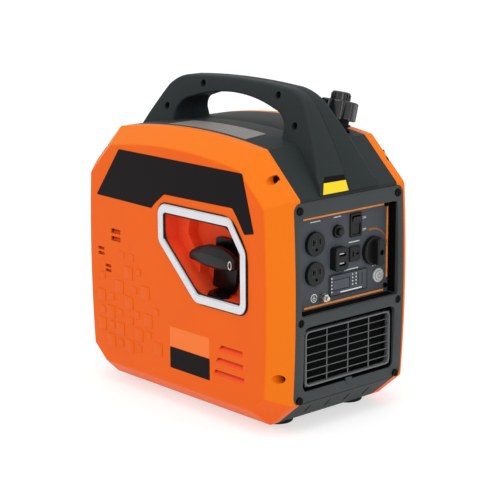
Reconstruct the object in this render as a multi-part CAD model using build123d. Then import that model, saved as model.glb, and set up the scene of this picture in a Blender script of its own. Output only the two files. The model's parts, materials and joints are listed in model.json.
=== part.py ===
from build123d import *
import os
from math import cos, radians, sin, sqrt

# Portable inverter generator. Millimetres, +X towards the control panel, -Y towards the
# starter side, +Z up, origin on the ground under the middle of the body.

# Overall body
half_width = 142.5        # flat side wall from the middle
edge_x = 222.5            # front and rear edges of the side profile
front_bow = 5.0           # how far front and rear bulge past those edges
brow_z = 341.0            # lower end of the front and rear slopes
slope_run = 65.5          # length of the slopes along X
shoulder_x = edge_x - slope_run
shoulder_z = 403.5
crown_z = 416.0           # top of the cover at the middle
chin_z = 46.0             # upper end of the bottom corner slopes
corner_run = 44.5         # length of the bottom corner slopes along X
belly_x = edge_x - corner_run
foot_height = 8.0         # underside of the body above the ground
strip_y = 97.0            # seam between the black middle and the coloured sides
turn_y = 112.0            # where the strip turns into the chamfer
chamfer_inset = 26.0      # how far the flat side stands inside the profile
edge_round = 5.0          # rounding of the body's outer edges
wall = 3.0                # wall of the side and top covers
stout_wall = 4.0          # wall of the bezel, rear cover and base tray
seam = 0.3                # gap between neighbouring covers

# Front bezel, control plate and grille, as (y, z) on the front
panel_half = turn_y - 2.5
panel_low_z = chin_z + seam
panel_high_z = brow_z - 4.0 - seam
panel_corner = 12.0
window_half, window_low, window_high = 97.5, 174.5, 314.0
plate_recess = 15.5       # control plate behind the front edge
plate_x = edge_x - plate_recess
plate_thick = 3.0
frame_wall = 3.0          # walls round the window and the grille recess
ledge_width = 5.0
grille_half, grille_low, grille_high = 92.0, 63.0, 158.0
grille_recess = 5.5       # grille behind the front edge
grille_x = edge_x - grille_recess
grille_depth = 4.0
grille_columns, grille_rows = 4, 7
grille_rim, grille_bar = 5.0, 2.4
bezel_screw_y = panel_half - 10.9
bezel_screw_z = (52.2, 166.25, 325.8)
bezel_tab_half = 5.0

# Control plate fittings, as (y, z) on the plate
outlet_r, outlet_proud, outlet_depth = 17.5, 6.0, 34.0
outlet_places = {"outlet_upper": (-55.3, 271.0), "outlet_lower": (-55.3, 227.5)}
breaker_place, breaker_r, breaker_button_r, breaker_travel = (-9.0, 282.0), 9.5, 5.5, 3.0
rocker_place, rocker_wide, rocker_tall = (28.0, 286.0), 24.0, 35.0
rocker_tilt = 10.0
usb_place, usb_wide, usb_tall, usb_proud = (-10.0, 243.0), 26.0, 34.0, 13.0
usb_port_wide, usb_port_tall = 13.0, 5.4
dc_place, dc_wide, dc_tall = (25.0, 244.0), 22.0, 22.0
dial_place, dial_r, dial_proud = (63.5, 242.5), 21.5, 20.0
dial_bar_wide, dial_hole_r, dial_hole_deep = 14.0, 4.2, 5.0
button_place, button_bezel_r, button_r, button_travel = (75.0, 203.5), 11.0, 7.5, 2.0
display_low, display_high = (-25.0, 188.5), (51.0, 219.0)
ground_place, stud_r = (-38.0, 190.0), 3.0
plate_screw_inset, plate_screw_rise = 6.5, 11.0
plate_screw_y = window_half - plate_screw_inset
run_clear = 0.05          # radial clearance of turning and sliding fits
loose_clear = 0.2         # clearance of fixed pieces in their holes

# Starter pocket on the left side, as (x, z)
trim_line = [(-24, 301), (128, 302), (157, 262), (157, 179), (55, 178), (-24, 253)]
trim_bar = 14.0           # width of the bright ring
trim_round = 11.0
trim_lap = 5.0            # how far the ring laps over the mouth of the pocket
trim_proud = 3.0          # how far ring and service cover stand off the side walls
pocket_depth = 45.5
pocket_floor_y = half_width - pocket_depth
pocket_wall = 2.5
pull_x, pull_z = 74.0, 230.0
rope_r = 2.0
grip_long, grip_tall, grip_thick = 96.0, 30.0, 22.0
grip_sunk = 16.5          # middle of the grip bar inside the side wall
grip_y = half_width - grip_sunk
grip_tilt = 5.0           # degrees the bar dips towards the front

# Handle, as (x, z) in side view and half widths in front view
handle_rise = 67.0        # top of the handle above the cover
handle_top = crown_z + handle_rise
handle_widths = [(12.5, handle_top + 8), (64.6, brow_z - 16)]
handle_wall = 4.0
handle_screws_at = [(-71, handle_top - 14.5), (shoulder_x - 61, handle_top - 16.5),
                    (14 - shoulder_x, crown_z + 12), (shoulder_x - 14, crown_z + 12)]
handle_screw_sink = 8.0

# Fuel filler
filler_base = (shoulder_x - 35.0, 70.0, crown_z - 4.0)
filler_lean = 15.0
neck_bore, neck_r, bellows_r = 16.0, 19.0, 22.0
neck_top = 28.0           # top of the neck along its axis, from the base
cap_r, cap_low, cap_high = 28.0, 13.0, 41.0
gasket_thick = 2.7
knob_r, knob_high = 15.0, 54.0
tank_half_x, tank_half_y, tank_wall = shoulder_x - 7.0, strip_y - 9.0, 2.5
tank_low, tank_high = crown_z - 94.0, crown_z - 24.0

# Engine, crank axis along X
crank_z = pull_z - 40.0
crank_r = 11.0
pulley_groove_r, pulley_r, pulley_half = 37.7, 44.0, 5.5
case_front, case_rear = 14.0, -80.0
case_top, case_low = 262.0, 44.0
shroud_r, shroud_front = 77.0, 93.0
rotor_r, fan_r = 62.0, 70.0
head_y0, head_y1 = 95.0, 118.0
head_rear, head_front = -78.0, 12.0
mount_x, mount_y = (-68.0, 4.0), 46.0
muffler_x = (-edge_x + 17.5, -edge_x + 97.5)
exhaust_y, exhaust_z, exhaust_r = 55.0, 205.0, 13.0
foot_x, foot_y, foot_r = belly_x - 28.0, strip_y - 25.0, 23.0


def box(x0, x1, y0, y1, z0, z1):
    return Pos((x0 + x1) / 2, (y0 + y1) / 2, (z0 + z1) / 2) * Box(x1 - x0, y1 - y0, z1 - z0)


def rod_x(radius, x0, x1, y, z):
    return Pos((x0 + x1) / 2, y, z) * Rot(0, 90, 0) * Cylinder(radius, x1 - x0)


def rod_y(radius, y0, y1, x, z):
    return Pos(x, (y0 + y1) / 2, z) * Rot(90, 0, 0) * Cylinder(radius, y1 - y0)


def rod_z(radius, z0, z1, x, y):
    return Pos(x, y, (z0 + z1) / 2) * Cylinder(radius, z1 - z0)


def front_slab(x0, x1, y0, y1, z0, z1, radius):
    """Rounded rectangle on the front, extruded along X."""
    shape = Pos((y0 + y1) / 2, (z0 + z1) / 2) * RectangleRounded(y1 - y0, z1 - z0, radius)
    return extrude(Plane.YZ.offset(x0) * shape, x1 - x0)


def side_slab(y0, y1, shape):
    """Sketch in (x, z), extruded from y0 down to y1, with y1 the lower."""
    return extrude(Plane.XZ.offset(-y0) * shape, y0 - y1)


# Body hull

profile = [(belly_x, foot_height), (edge_x, chin_z), (edge_x, brow_z), (shoulder_x, shoulder_z),
           (-shoulder_x, shoulder_z), (-edge_x, brow_z), (-edge_x, chin_z), (-belly_x, foot_height)]
bulges = {1: front_bow, 3: crown_z - shoulder_z, 5: front_bow}


def inset_profile(depth):
    """Corners of the side profile, moved inwards by depth."""
    points = [Vector(x, z) for x, z in profile]
    moved = []
    for k, here in enumerate(points):
        along = (here - points[k - 1]).normalized()
        onward = (points[(k + 1) % len(points)] - here).normalized()
        in_a = Vector(-along.Y, along.X)
        in_b = Vector(-onward.Y, onward.X)
        moved.append(here + (in_a + in_b) * (depth / (1 + in_a.dot(in_b))))
    return moved


def profile_face(depth):
    corners = inset_profile(depth)
    edges = []
    for k, a in enumerate(corners):
        b = corners[(k + 1) % len(corners)]
        if k in bulges:
            along = (b - a).normalized()
            outward = Vector(along.Y, -along.X)
            edges.append(ThreePointArc(a, (a + b) / 2 + outward * bulges[k], b))
        else:
            edges.append(Line(a, b))
    return make_face(edges)


def hull(depth):
    """Closed body shape, every face moved inwards by depth."""
    rise = half_width - turn_y
    slant = sqrt(rise ** 2 + chamfer_inset ** 2)
    start_y = turn_y - depth * (slant - rise) / chamfer_inset
    flat_inset = chamfer_inset + depth * (slant - chamfer_inset) / rise
    core = extrude(Plane.XZ * profile_face(depth), start_y, both=True)
    cap = loft([Plane.XZ.offset(start_y) * profile_face(depth),
                Plane.XZ.offset(half_width - depth) * profile_face(flat_inset)], ruled=True)
    return core + cap + mirror(cap, Plane.XZ)


outer = fillet(hull(0).edges(), edge_round)
thin_shell = outer - hull(wall)
stout_shell = outer - hull(stout_wall)
FAR = 600.0


def middle_band(low_z, high_z):
    return box(-FAR, FAR, -strip_y + seam, strip_y - seam, low_z, high_z)


def panel_zone(gap, near_x, far_x):
    """Rounded rectangle that a front or rear panel fills, grown by gap."""
    return front_slab(near_x, far_x, -panel_half - gap, panel_half + gap,
                      panel_low_z - gap, panel_high_z + gap, panel_corner + gap)


# Fastenings shared by several pieces

bezel_tab_back = edge_x - 15.5


def bezel_screw_places():
    return [(side * bezel_screw_y, z) for side in (-1, 1) for z in bezel_screw_z]


def cover_screw_places():
    """Side cover screws, as (x, z, pocket bottom y) for one side."""
    upper = (edge_x - 34.0, brow_z + 26.0, turn_y - 4.0)
    lower = (edge_x - 11.0, chin_z + 42.0, turn_y - 1.0)
    return [(s * x, z, y) for s in (1, -1) for x, z, y in (upper, lower)]


def screw_x(head_r, shank_r, seat_x, tip_x, y, z, head=3.0):
    """Pan head screw along X with its head in front of seat_x."""
    sign = 1 if seat_x > tip_x else -1
    far = seat_x + sign * head
    top = rod_x(head_r, min(seat_x, far), max(seat_x, far), y, z)
    slot = box(far - 1.2, far + 1.2, y - 0.6, y + 0.6, z - head_r, z + head_r)
    return top - slot + rod_x(shank_r, min(seat_x, tip_x), max(seat_x, tip_x), y, z)


def screw_y(head_r, shank_r, seat_y, tip_y, x, z, head=3.0):
    """Pan head screw along Y with its head outside seat_y."""
    sign = 1 if seat_y > tip_y else -1
    far = seat_y + sign * head
    top = rod_y(head_r, min(seat_y, far), max(seat_y, far), x, z)
    slot = box(x - head_r, x + head_r, far - 1.2, far + 1.2, z - 0.6, z + 0.6)
    return top - slot + rod_y(shank_r, min(seat_y, tip_y), max(seat_y, tip_y), x, z)


def group(solids):
    return Compound(children=[solid if isinstance(solid, Solid) else solid.solid() for solid in solids])


# Side covers

def side_cover(side):
    """Side shell for side -1 (starter) or +1, without the openings of its own."""
    if side < 0:
        half = box(-FAR, FAR, -FAR, -strip_y, -FAR, FAR)
    else:
        half = box(-FAR, FAR, strip_y, FAR, -FAR, FAR)
    cover = thin_shell & half
    cover -= panel_zone(seam, edge_x - 22, FAR) + panel_zone(seam, -FAR, 22 - edge_x)
    inside = hull(wall / 2)
    tab_y = sorted((side * (turn_y + 16), side * (strip_y - 5)))
    for z in bezel_screw_z:
        for x0, x1 in ((bezel_tab_back, edge_x - stout_wall - 1), (-edge_x + stout_wall + 1, -bezel_tab_back)):
            tab = box(x0, x1, tab_y[0], tab_y[1], z - bezel_tab_half, z + bezel_tab_half) & inside
            tab -= panel_zone(seam, edge_x - 5.5, FAR) + panel_zone(seam, -FAR, 5.5 - edge_x)
            cover += tab
    for y, z in bezel_screw_places():
        cover -= rod_x(2.4, -edge_x, edge_x, y, z)
    for x, z, floor in cover_screw_places():
        boss = rod_y(9.0, *sorted((side * (floor - 4), side * (half_width - 2.5))), x, z)
        cover += boss & inside
        sink = rod_y(6.5, *sorted((side * floor, side * FAR)), x, z)
        hole = rod_y(2.4, *sorted((side * (strip_y - 7), side * FAR)), x, z)
        cover -= sink + hole
    return cover


def trim_face(grow):
    face = fillet(make_face(Polyline(*trim_line, close=True)).vertices(), trim_round)
    return offset(face, grow) if grow else face


louvre_rows = [(104, 153, 114.0), (97, 154, 94.5), (91, 156, 75.0)]
louvre_tall, louvre_slant = 8.0, 5.0
square_vents = [(-137, 240, 24), (-174.5, 210, 16), (-157.5, 185, 15)]
vent_slits, vent_open = 2, 0.62


def louvre_cut(x0, x1, z):
    half = louvre_tall / 2
    return make_face(Polyline((x0 - louvre_slant / 2, z - half), (x1, z - half), (x1, z + half),
                              (x0 + louvre_slant / 2, z + half), close=True))


def left_side_cover():
    cover = side_cover(-1)
    cover -= side_slab(-turn_y, -FAR, trim_face(-trim_bar / 2 + trim_lap))
    for x0, x1, z in louvre_rows:
        cover -= side_slab(-turn_y, -FAR, louvre_cut(x0, x1, z))
    for x, z, size in square_vents:
        pitch = size / vent_slits
        for k in range(vent_slits):
            low = z - size / 2 + (k + (1 - vent_open) / 2) * pitch
            cover -= box(x - size / 2, x + size / 2, -FAR, -turn_y, low, low + vent_open * pitch)
    return cover


service_low, service_high, service_corner = (-70.0, 110.0), (90.0, 280.0), 14.0
service_lip = 6.0


def service_shape(grow):
    middle = [(a + b) / 2 for a, b in zip(service_low, service_high)]
    wide = service_high[0] - service_low[0] + 2 * grow
    tall = service_high[1] - service_low[1] + 2 * grow
    return Pos(*middle) * RectangleRounded(wide, tall, service_corner + grow)


service_boss = 8.0
service_screw = ((service_low[0] + service_high[0]) / 2, service_low[1] + service_lip + 4.0)


def right_side_cover():
    cover = side_cover(1)
    cover -= side_slab(FAR, turn_y, service_shape(-service_lip))
    x, z = service_screw
    cover += box(x - service_boss, x + service_boss, half_width - 8, half_width, z - service_boss, z + service_boss)
    cover -= rod_y(2.4, turn_y, FAR, x, z)
    for x0, x1, z in louvre_rows:
        cover -= side_slab(FAR, turn_y, louvre_cut(-x1, -x0 - louvre_slant, z))
    return cover


def service_cover():
    """Oil service door, standing off the right side as far as the starter trim does off the left."""
    plate = side_slab(half_width + trim_proud, half_width, service_shape(0))
    rim = plate.edges().filter_by(lambda e: abs(e.center().Y - half_width - trim_proud) < 0.1)
    plate = fillet(rim, 2.0)
    plate += side_slab(half_width, half_width - wall, service_shape(-service_lip - seam))
    x, z = service_screw
    notch = service_boss + seam
    plate -= box(x - notch, x + notch, half_width - wall - 1, half_width, z - notch - 5, z + notch)
    return plate - rod_y(5.5, half_width + 0.5, FAR, x, z) - rod_y(2.4, turn_y, FAR, x, z)


def cover_screws():
    x, z = service_screw
    pieces = [screw_y(5.0, 2.2, half_width + 0.5, half_width - 10, x, z, head=2.4)]
    for side in (-1, 1):
        for x, z, floor in cover_screw_places():
            pieces.append(screw_y(5.0, 2.2, side * floor, side * (floor - 10), x, z))
    return group(pieces)


# Starter pocket, trim and grip

def starter_trim():
    ring = side_slab(-half_width, -half_width - trim_proud, trim_face(trim_bar / 2))
    outside = ring.edges().filter_by(lambda e: abs(e.center().Y + half_width + trim_proud) < 0.1)
    ring = fillet(outside, 2.0)
    hollow = side_slab(-half_width + 10, -half_width - 10, trim_face(-trim_bar / 2))
    return ring - hollow


def starter_pocket():
    mouth = trim_face(-trim_bar / 2 + trim_lap - seam)
    tub = side_slab(-pocket_floor_y, -half_width, mouth)
    tub += side_slab(-half_width + wall + 2.3, -half_width + wall + seam, trim_face(4.0))
    hollow = trim_face(-trim_bar / 2 + trim_lap - seam - pocket_wall)
    tub -= side_slab(-pocket_floor_y - pocket_wall, -half_width - 5, hollow)
    tub -= rod_y(9.0, -pocket_floor_y - 5, -pocket_floor_y + 5, pull_x, pull_z)
    step = make_face(Polyline((-30, 320), (16, 320), (6, 262), (34, 226), (30, 200), (-30, 240), close=True))
    return tub + (side_slab(-pocket_floor_y, -pocket_floor_y - 20, step) & side_slab(0, -half_width, mouth))


def rope_guide():
    """Bracket on the pocket floor that leads the rope out, with a flared foot and a nose through the floor."""
    front = pocket_floor_y + pocket_wall + 9
    plate = make_face(Polyline((58, 265), (92, 265), (101, 246), (104, 222), (101, 202), (82, 190),
                               (50, 190), (53, 214), (58, 248), close=True))
    bracket = side_slab(-pocket_floor_y - pocket_wall, -front, fillet(plate.vertices(), 4.0))
    bracket += rod_y(9.0 - loose_clear, -pocket_floor_y - pocket_wall, -pocket_floor_y + 8, pull_x, pull_z)
    return bracket - rod_y(rope_r + 0.6, -front - 5, -pocket_floor_y + 10, pull_x, pull_z)


grip_inner = pocket_floor_y + pocket_wall + 9 + seam


# Grip sections along the bar: offset along it, height shift, half height, half depth, as shares
grip_sections = [(-0.5, 0.0, 0.14, 0.3), (-0.32, 0.04, 0.34, 0.44), (0.0, 0.06, 0.5, 0.5),
                 (0.32, 0.0, 0.38, 0.46), (0.5, -0.1, 0.24, 0.36)]


def starter_grip():
    """T grip: a bar along X, fullest in the middle, with a round stem that rests on the rope guide."""
    rings = [Plane.YZ.offset(along * grip_long) * Pos(0, shift * grip_tall)
             * Ellipse(deep * grip_thick, half * grip_tall) for along, shift, half, deep in grip_sections]
    bar = Pos(pull_x, -grip_y, pull_z) * Rot(0, grip_tilt, 0) * loft(rings)
    stem = rod_y(9.0, -grip_y, -grip_inner, pull_x, pull_z)
    return bar + stem - rod_y(rope_r + 0.1, -grip_y + 6, -grip_inner + 5, pull_x, pull_z)


def starter_rope():
    return rod_y(rope_r, -grip_y + 6, -1.0, pull_x, pull_z)


# Top covers with the carrying handle

def handle_side_view():
    low = inset_profile(wall / 2)
    brow, shoulder = low[2], low[3]
    toe = (edge_x + 1.5, brow_z + 1.5)

    def flip(p):
        return (-p[0], p[1])

    knuckle, corner = (shoulder_x - 44, handle_top - 5), (shoulder_x - 6, handle_top - 22)
    roll, bend = (shoulder_x - 22, handle_top - 11.5), (edge_x - 31.5, brow_z + 63)
    right = [ThreePointArc(knuckle, roll, corner), ThreePointArc(corner, bend, toe),
             Line(toe, (brow.X, brow.Y)), Line((brow.X, brow.Y), (shoulder.X, shoulder.Y))]
    left = [ThreePointArc(flip(knuckle), flip(roll), flip(corner)),
            ThreePointArc(flip(corner), flip(bend), flip(toe)),
            Line(flip(toe), (-brow.X, brow.Y)), Line((-brow.X, brow.Y), (-shoulder.X, shoulder.Y))]
    top = ThreePointArc(flip(knuckle), (0, handle_top), knuckle)
    base = ThreePointArc((-shoulder.X, shoulder.Y), (0, crown_z - wall / 2), (shoulder.X, shoulder.Y))
    arch_foot, arch_side = (shoulder_x - 36, crown_z + 6), (shoulder_x - 46, crown_z + 22)
    arch_top, sill = (shoulder_x - 62, crown_z + 29.5), (shoulder_x - 34, crown_z - 36)
    window = make_face([ThreePointArc(flip(arch_top), (0, handle_top - 22), arch_top),
                        ThreePointArc(arch_top, arch_side, arch_foot), Line(arch_foot, sill),
                        Line(sill, flip(sill)), Line(flip(sill), flip(arch_foot)),
                        ThreePointArc(flip(arch_foot), flip(arch_side), flip(arch_top))])
    return make_face(right + left + [top, base]) - window


def handle_front_view():
    left = [(-y, z) for y, z in reversed(handle_widths)]
    return make_face(Polyline(*handle_widths, *left, close=True))


def handle_shape(depth):
    side = handle_side_view()
    front = handle_front_view()
    if depth:
        side = offset(side, -depth)
        front = offset(front, -depth)
    return extrude(Plane.XZ * side, strip_y, both=True) & extrude(Plane.YZ * front, FAR, both=True)


def filler_rod(radius, low, high):
    """Cylinder on the filler axis, between two heights along it."""
    return filler_plane * Pos(0, 0, (low + high) / 2) * Cylinder(radius, high - low)


filler_axis = (0.0, sin(radians(filler_lean)), cos(radians(filler_lean)))
filler_plane = Plane(origin=filler_base, x_dir=(1, 0, 0), z_dir=filler_axis)


def handle_and_cover():
    """Both halves of the top cover in one, before they are split."""
    solid = handle_shape(0)
    hollow = handle_shape(handle_wall)
    posts = [rod_y(7.5, -60, 60, x, z) & solid for x, z in handle_screws_at]
    cover = (thin_shell & middle_band(panel_high_z + 2 * seam, FAR)) + (solid - hollow)
    for post in posts:
        cover += post
    return cover - filler_rod(bellows_r + seam, -40, 40)


whole_top = handle_and_cover()


def handle_half_at(z):
    """Half width of the handle at the height of a screw."""
    (top_y, top_z), (low_y, low_z) = handle_widths
    return top_y + (low_y - top_y) * (top_z - z) / (top_z - low_z)


def left_top_cover():
    cover = whole_top & box(-FAR, FAR, -FAR, -seam / 2, -FAR, FAR)
    for x, z in handle_screws_at:
        seat = handle_half_at(z) - handle_screw_sink
        cover -= rod_y(5.5, -FAR, -seat, x, z) + rod_y(2.4, -FAR, 0, x, z)
    return cover


def right_top_cover():
    cover = whole_top & box(-FAR, FAR, seam / 2, FAR, -FAR, FAR)
    for x, z in handle_screws_at:
        cover -= rod_y(2.4, 0, 14, x, z)
    return cover


def handle_screws():
    pieces = []
    for x, z in handle_screws_at:
        seat = handle_half_at(z) - handle_screw_sink
        pieces.append(screw_y(5.0, 2.2, -seat, 12, x, z))
    return group(pieces)


# Front bezel, rear cover and base tray

def recess(cover, half, low, high, floor_x, corner):
    """Window in the bezel with walls back to floor_x and a ledge there for what it holds."""
    grown = front_slab(floor_x - frame_wall, FAR, -half - frame_wall, half + frame_wall,
                       low - frame_wall, high + frame_wall, corner + frame_wall)
    cover += grown & outer
    cover -= front_slab(floor_x, FAR, -half, half, low, high, corner)
    inner_half = half - ledge_width
    return cover - front_slab(plate_x - 60, FAR, -inner_half, inner_half, low + ledge_width,
                              high - ledge_width, corner)


def plate_screw_places():
    return [(side * plate_screw_y, z) for side in (-1, 1)
            for z in (window_low + plate_screw_rise, window_high - plate_screw_inset)]


ledge_x = plate_x - plate_thick


def front_bezel():
    bezel = stout_shell & panel_zone(0, 0, FAR)
    bezel = recess(bezel, window_half, window_low, window_high, ledge_x, 4.0)
    bezel = recess(bezel, grille_half, grille_low, grille_high, grille_x - grille_depth, 9.0)
    for y, z in plate_screw_places():
        bezel += box(ledge_x - 12, ledge_x, y - 6, y + 6, z - 6, z + 6)
        bezel -= rod_x(1.8, ledge_x - 15, ledge_x + 5, y, z)
    for y, z in bezel_screw_places():
        bezel -= rod_x(2.4, 0, FAR, y, z) + rod_x(6.0, edge_x, FAR, y, z)
    return bezel


def panel_screws():
    return group([screw_x(5.5, 2.2, end * edge_x, end * bezel_tab_back, y, z)
                  for end in (1, -1) for y, z in bezel_screw_places()])


rear_vent_rows, rear_vent_low, rear_vent_pitch, rear_vent_tall = 9, 70.0, 11.0, 5.0
rear_vent_half = 84.0


def rear_cover():
    cover = stout_shell & panel_zone(0, -FAR, 0)
    for k in range(rear_vent_rows):
        z = rear_vent_low + k * rear_vent_pitch
        for y0, y1 in ((-rear_vent_half, -3), (3, rear_vent_half)):
            cover -= front_slab(-FAR, 0, y0, y1, z, z + rear_vent_tall, rear_vent_tall / 2 - 0.1)
    cover -= rod_x(exhaust_r + 7, -FAR, 0, exhaust_y, exhaust_z)
    for y, z in bezel_screw_places():
        cover -= rod_x(2.4, -FAR, 0, y, z) + rod_x(6.0, -FAR, -edge_x, y, z)
    return cover


tray_floor = foot_height + stout_wall
boss_high = 20.0
module_x, module_half, module_z = (edge_x - 90.5, edge_x - 26.5), 78.0, (44.0, 148.0)
slit_places = (-60, -20, 20, 60)


def base_tray():
    tray = stout_shell & middle_band(-FAR, chin_z - seam)
    for x in mount_x:
        for y in (-mount_y, mount_y):
            tray += rod_z(18, tray_floor - 1, boss_high, x, y)
    inside = hull(stout_wall / 2)
    for x in (module_x[0] + 6, module_x[1] - 26):
        tray += box(x, x + 8, -70, 70, tray_floor - 1, module_z[0]) & inside
    for end in (-1, 1):
        for y in slit_places:
            middle = ((belly_x + edge_x) / 2 * end, y, (foot_height + chin_z) / 2)
            tray -= Pos(*middle) * Rot(20 * end, -end * 49, 0) * Box(26, 3.2, 40)
    for x in (-foot_x, foot_x):
        for y in (-foot_y, foot_y):
            tray -= rod_z(6 + loose_clear, 0, 30, x, y)
    return tray


def rubber_feet():
    feet = []
    for x in (-foot_x, foot_x):
        for y in (-foot_y, foot_y):
            pad = rod_z(foot_r, 0, foot_height, x, y)
            rim = pad.edges().filter_by(lambda e: e.center().Z < 0.1)
            feet.append(fillet(rim, 2.5) + rod_z(6, foot_height, tray_floor + 2, x, y))
    return group(feet)


# Control plate and its fittings

def plate_hole(radius, place):
    return rod_x(radius, plate_x - 10, plate_x + 10, *place)


def plate_slab(x0, x1, place, wide, tall, corner):
    y, z = place
    return front_slab(x0, x1, y - wide / 2, y + wide / 2, z - tall / 2, z + tall / 2, corner)


outlet_body_r = outlet_r - 2.0
breaker_body_r = breaker_r - 1.5
button_body_r = button_bezel_r - 2.0
dial_shaft_r = 4.0


def control_plate():
    gap = seam
    plate = front_slab(ledge_x, plate_x, -window_half + gap, window_half - gap,
                       window_low + gap, window_high - gap, 4.0)
    for place in outlet_places.values():
        plate -= plate_hole(outlet_body_r + loose_clear, place)
    plate -= plate_hole(breaker_body_r + loose_clear, breaker_place)
    plate -= plate_hole(button_body_r + loose_clear, button_place)
    plate -= plate_hole(dial_shaft_r + run_clear, dial_place)
    plate -= plate_hole(stud_r + loose_clear, ground_place)
    slots = [(rocker_place, rocker_wide, rocker_tall), (usb_place, usb_wide, usb_tall),
             (dc_place, dc_wide, dc_tall)]
    for place, wide, tall in slots:
        plate -= plate_slab(plate_x - 10, plate_x + 10, place, wide - 4 + 2 * loose_clear,
                            tall - 4 + 2 * loose_clear, 2.0)
    for y, z in plate_screw_places():
        plate -= rod_x(1.9, plate_x - 10, plate_x + 10, y, z)
    return plate


def plate_screws():
    return group([screw_x(3.6, 1.6, plate_x, ledge_x - 10, y, z, head=2.0) for y, z in plate_screw_places()])


def outlet(place):
    """Round grounded receptacle: T slot, straight slot and a D shaped earth hole."""
    y, z = place
    face = plate_x + outlet_proud
    body = rod_x(outlet_r, plate_x, face, y, z)
    body = fillet(body.edges().filter_by(lambda e: e.center().X > face - 0.1), 1.5)
    body += rod_x(outlet_body_r, plate_x - outlet_depth, plate_x, y, z)
    deep = face - 12
    body -= box(deep, face + 1, y - 7.4, y - 5.4, z - 1, z + 7)
    body -= box(deep, face + 1, y - 5.4, y - 2.4, z + 2, z + 4)
    body -= box(deep, face + 1, y + 5.4, y + 7.4, z - 1, z + 7)
    return body - rod_x(2.4, deep, face + 1, y, z - 8)


def breaker_body():
    y, z = breaker_place
    body = rod_x(breaker_r, plate_x, plate_x + 5, y, z)
    body = fillet(body.edges().filter_by(lambda e: e.center().X > plate_x + 4.9), 1.0)
    body += rod_x(breaker_body_r, plate_x - 26, plate_x, y, z)
    return body - rod_x(breaker_button_r + run_clear, plate_x - 16, plate_x + 9, y, z)


def breaker_button():
    y, z = breaker_place
    pin = rod_x(breaker_button_r, plate_x - 16 + breaker_travel + 0.5, plate_x + 10, y, z)
    return fillet(pin.edges().filter_by(lambda e: e.center().X > plate_x + 9.9), 1.5)


rocker_pivot_x = plate_x - 2.0
rocker_half_y, rocker_half_z = rocker_wide / 2 - 4.0, rocker_tall / 2 - 4.2
rocker_pin_r = 1.5


def eco_switch_frame():
    frame = plate_slab(plate_x, plate_x + 2.5, rocker_place, rocker_wide, rocker_tall, 2.5)
    frame = fillet(frame.edges().filter_by(lambda e: e.center().X > plate_x + 2.4), 1.0)
    frame += plate_slab(plate_x - 22, plate_x, rocker_place, rocker_wide - 4, rocker_tall - 4, 1.5)
    wide, tall = 2 * rocker_half_y + 2 * seam, 2 * rocker_half_z + 2.0
    frame -= plate_slab(plate_x - 14, plate_x + 10, rocker_place, wide, tall, 0.8)
    y, z = rocker_place
    return frame - rod_y(rocker_pin_r + run_clear, y - rocker_half_y - 1.8, y + rocker_half_y + 1.8,
                         rocker_pivot_x, z)


def eco_rocker():
    """Rocker key with a hollowed face, lying over to one side on its cross pin."""
    end = rocker_half_z
    key = make_face(Polyline((-8, -4), (-8, 4), (-1, end), (5, end), (3, 0), (5, -end), (-1, -end), close=True))
    y, z = rocker_place
    body = extrude(Plane.XZ * key, rocker_half_y, both=True)
    body += rod_y(rocker_pin_r, -rocker_half_y - 1.5, rocker_half_y + 1.5, 0, 0)
    return Pos(rocker_pivot_x, y, z) * Rot(0, rocker_tilt, 0) * body


usb_port_z = (usb_place[1] - 7.0, usb_place[1] + 7.0)


def usb_socket():
    face = plate_x + usb_proud
    body = plate_slab(plate_x, face, usb_place, usb_wide, usb_tall, 5.0)
    body = chamfer(body.edges().filter_by(lambda e: e.center().X > face - 0.1), 1.5)
    body += plate_slab(plate_x - 20, plate_x, usb_place, usb_wide - 4, usb_tall - 4, 2.0)
    for z in usb_port_z:
        body -= plate_slab(face - 14, face + 5, (usb_place[0], z), usb_port_wide, usb_port_tall, 0.4)
    return body


def dc_socket():
    face = plate_x + 4
    y, z = dc_place
    body = plate_slab(plate_x, face, dc_place, dc_wide, dc_tall, 3.0)
    body = chamfer(body.edges().filter_by(lambda e: e.center().X > face - 0.1), 1.0)
    body += plate_slab(plate_x - 18, plate_x, dc_place, dc_wide - 4, dc_tall - 4, 1.5)
    body -= box(face - 12, face + 1, y - 6, y - 3.6, z - 4, z + 4)
    return body - box(face - 12, face + 1, y + 1, y + 7, z - 1.2, z + 1.2)


def engine_dial():
    """Turn knob: a disc with a raised finger bar and a round hollow in its middle."""
    y, z = dial_place
    rear, rim, face = plate_x + 0.5, plate_x + 8, plate_x + dial_proud
    disc = rod_x(dial_r, rear, rim, y, z)
    disc = fillet(disc.edges().filter_by(lambda e: e.center().X > rim - 0.1), 2.5)
    half_wide, half_long = dial_bar_wide / 2, dial_r - 2
    bar = front_slab(rim - 2, face, y - half_wide, y + half_wide, z - half_long, z + half_long, 4.0)
    bar = chamfer(bar.edges().filter_by(lambda e: e.center().X > face - 0.1), 2.0)
    disc += bar
    disc -= rod_x(dial_hole_r, face - dial_hole_deep, face + 1, y, z)
    return disc + rod_x(dial_shaft_r, plate_x - 20, rear, y, z)


def dial_valve():
    """Fuel and choke valve behind the plate, turned by the dial's shaft."""
    y, z = dial_place
    body = box(plate_x - 24, ledge_x, y - 15, y + 15, z - 15, z + 15)
    body = fillet(body.edges().filter_by(Axis.X), 4.0)
    return body - rod_x(dial_shaft_r + run_clear, plate_x - 20.5, plate_x, y, z)


def display_frame():
    (y0, z0), (y1, z1) = display_low, display_high
    frame = front_slab(plate_x, plate_x + 2.5, y0, y1, z0, z1, 3.0)
    frame = chamfer(frame.edges().filter_by(lambda e: e.center().X > plate_x + 2.4), 0.8)
    return frame - front_slab(plate_x + 1, plate_x + 5, *display_glass, 1.0)


display_glass = (display_low[0] + 6, display_low[0] + 40, display_low[1] + 8, display_high[1] - 8)


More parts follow.
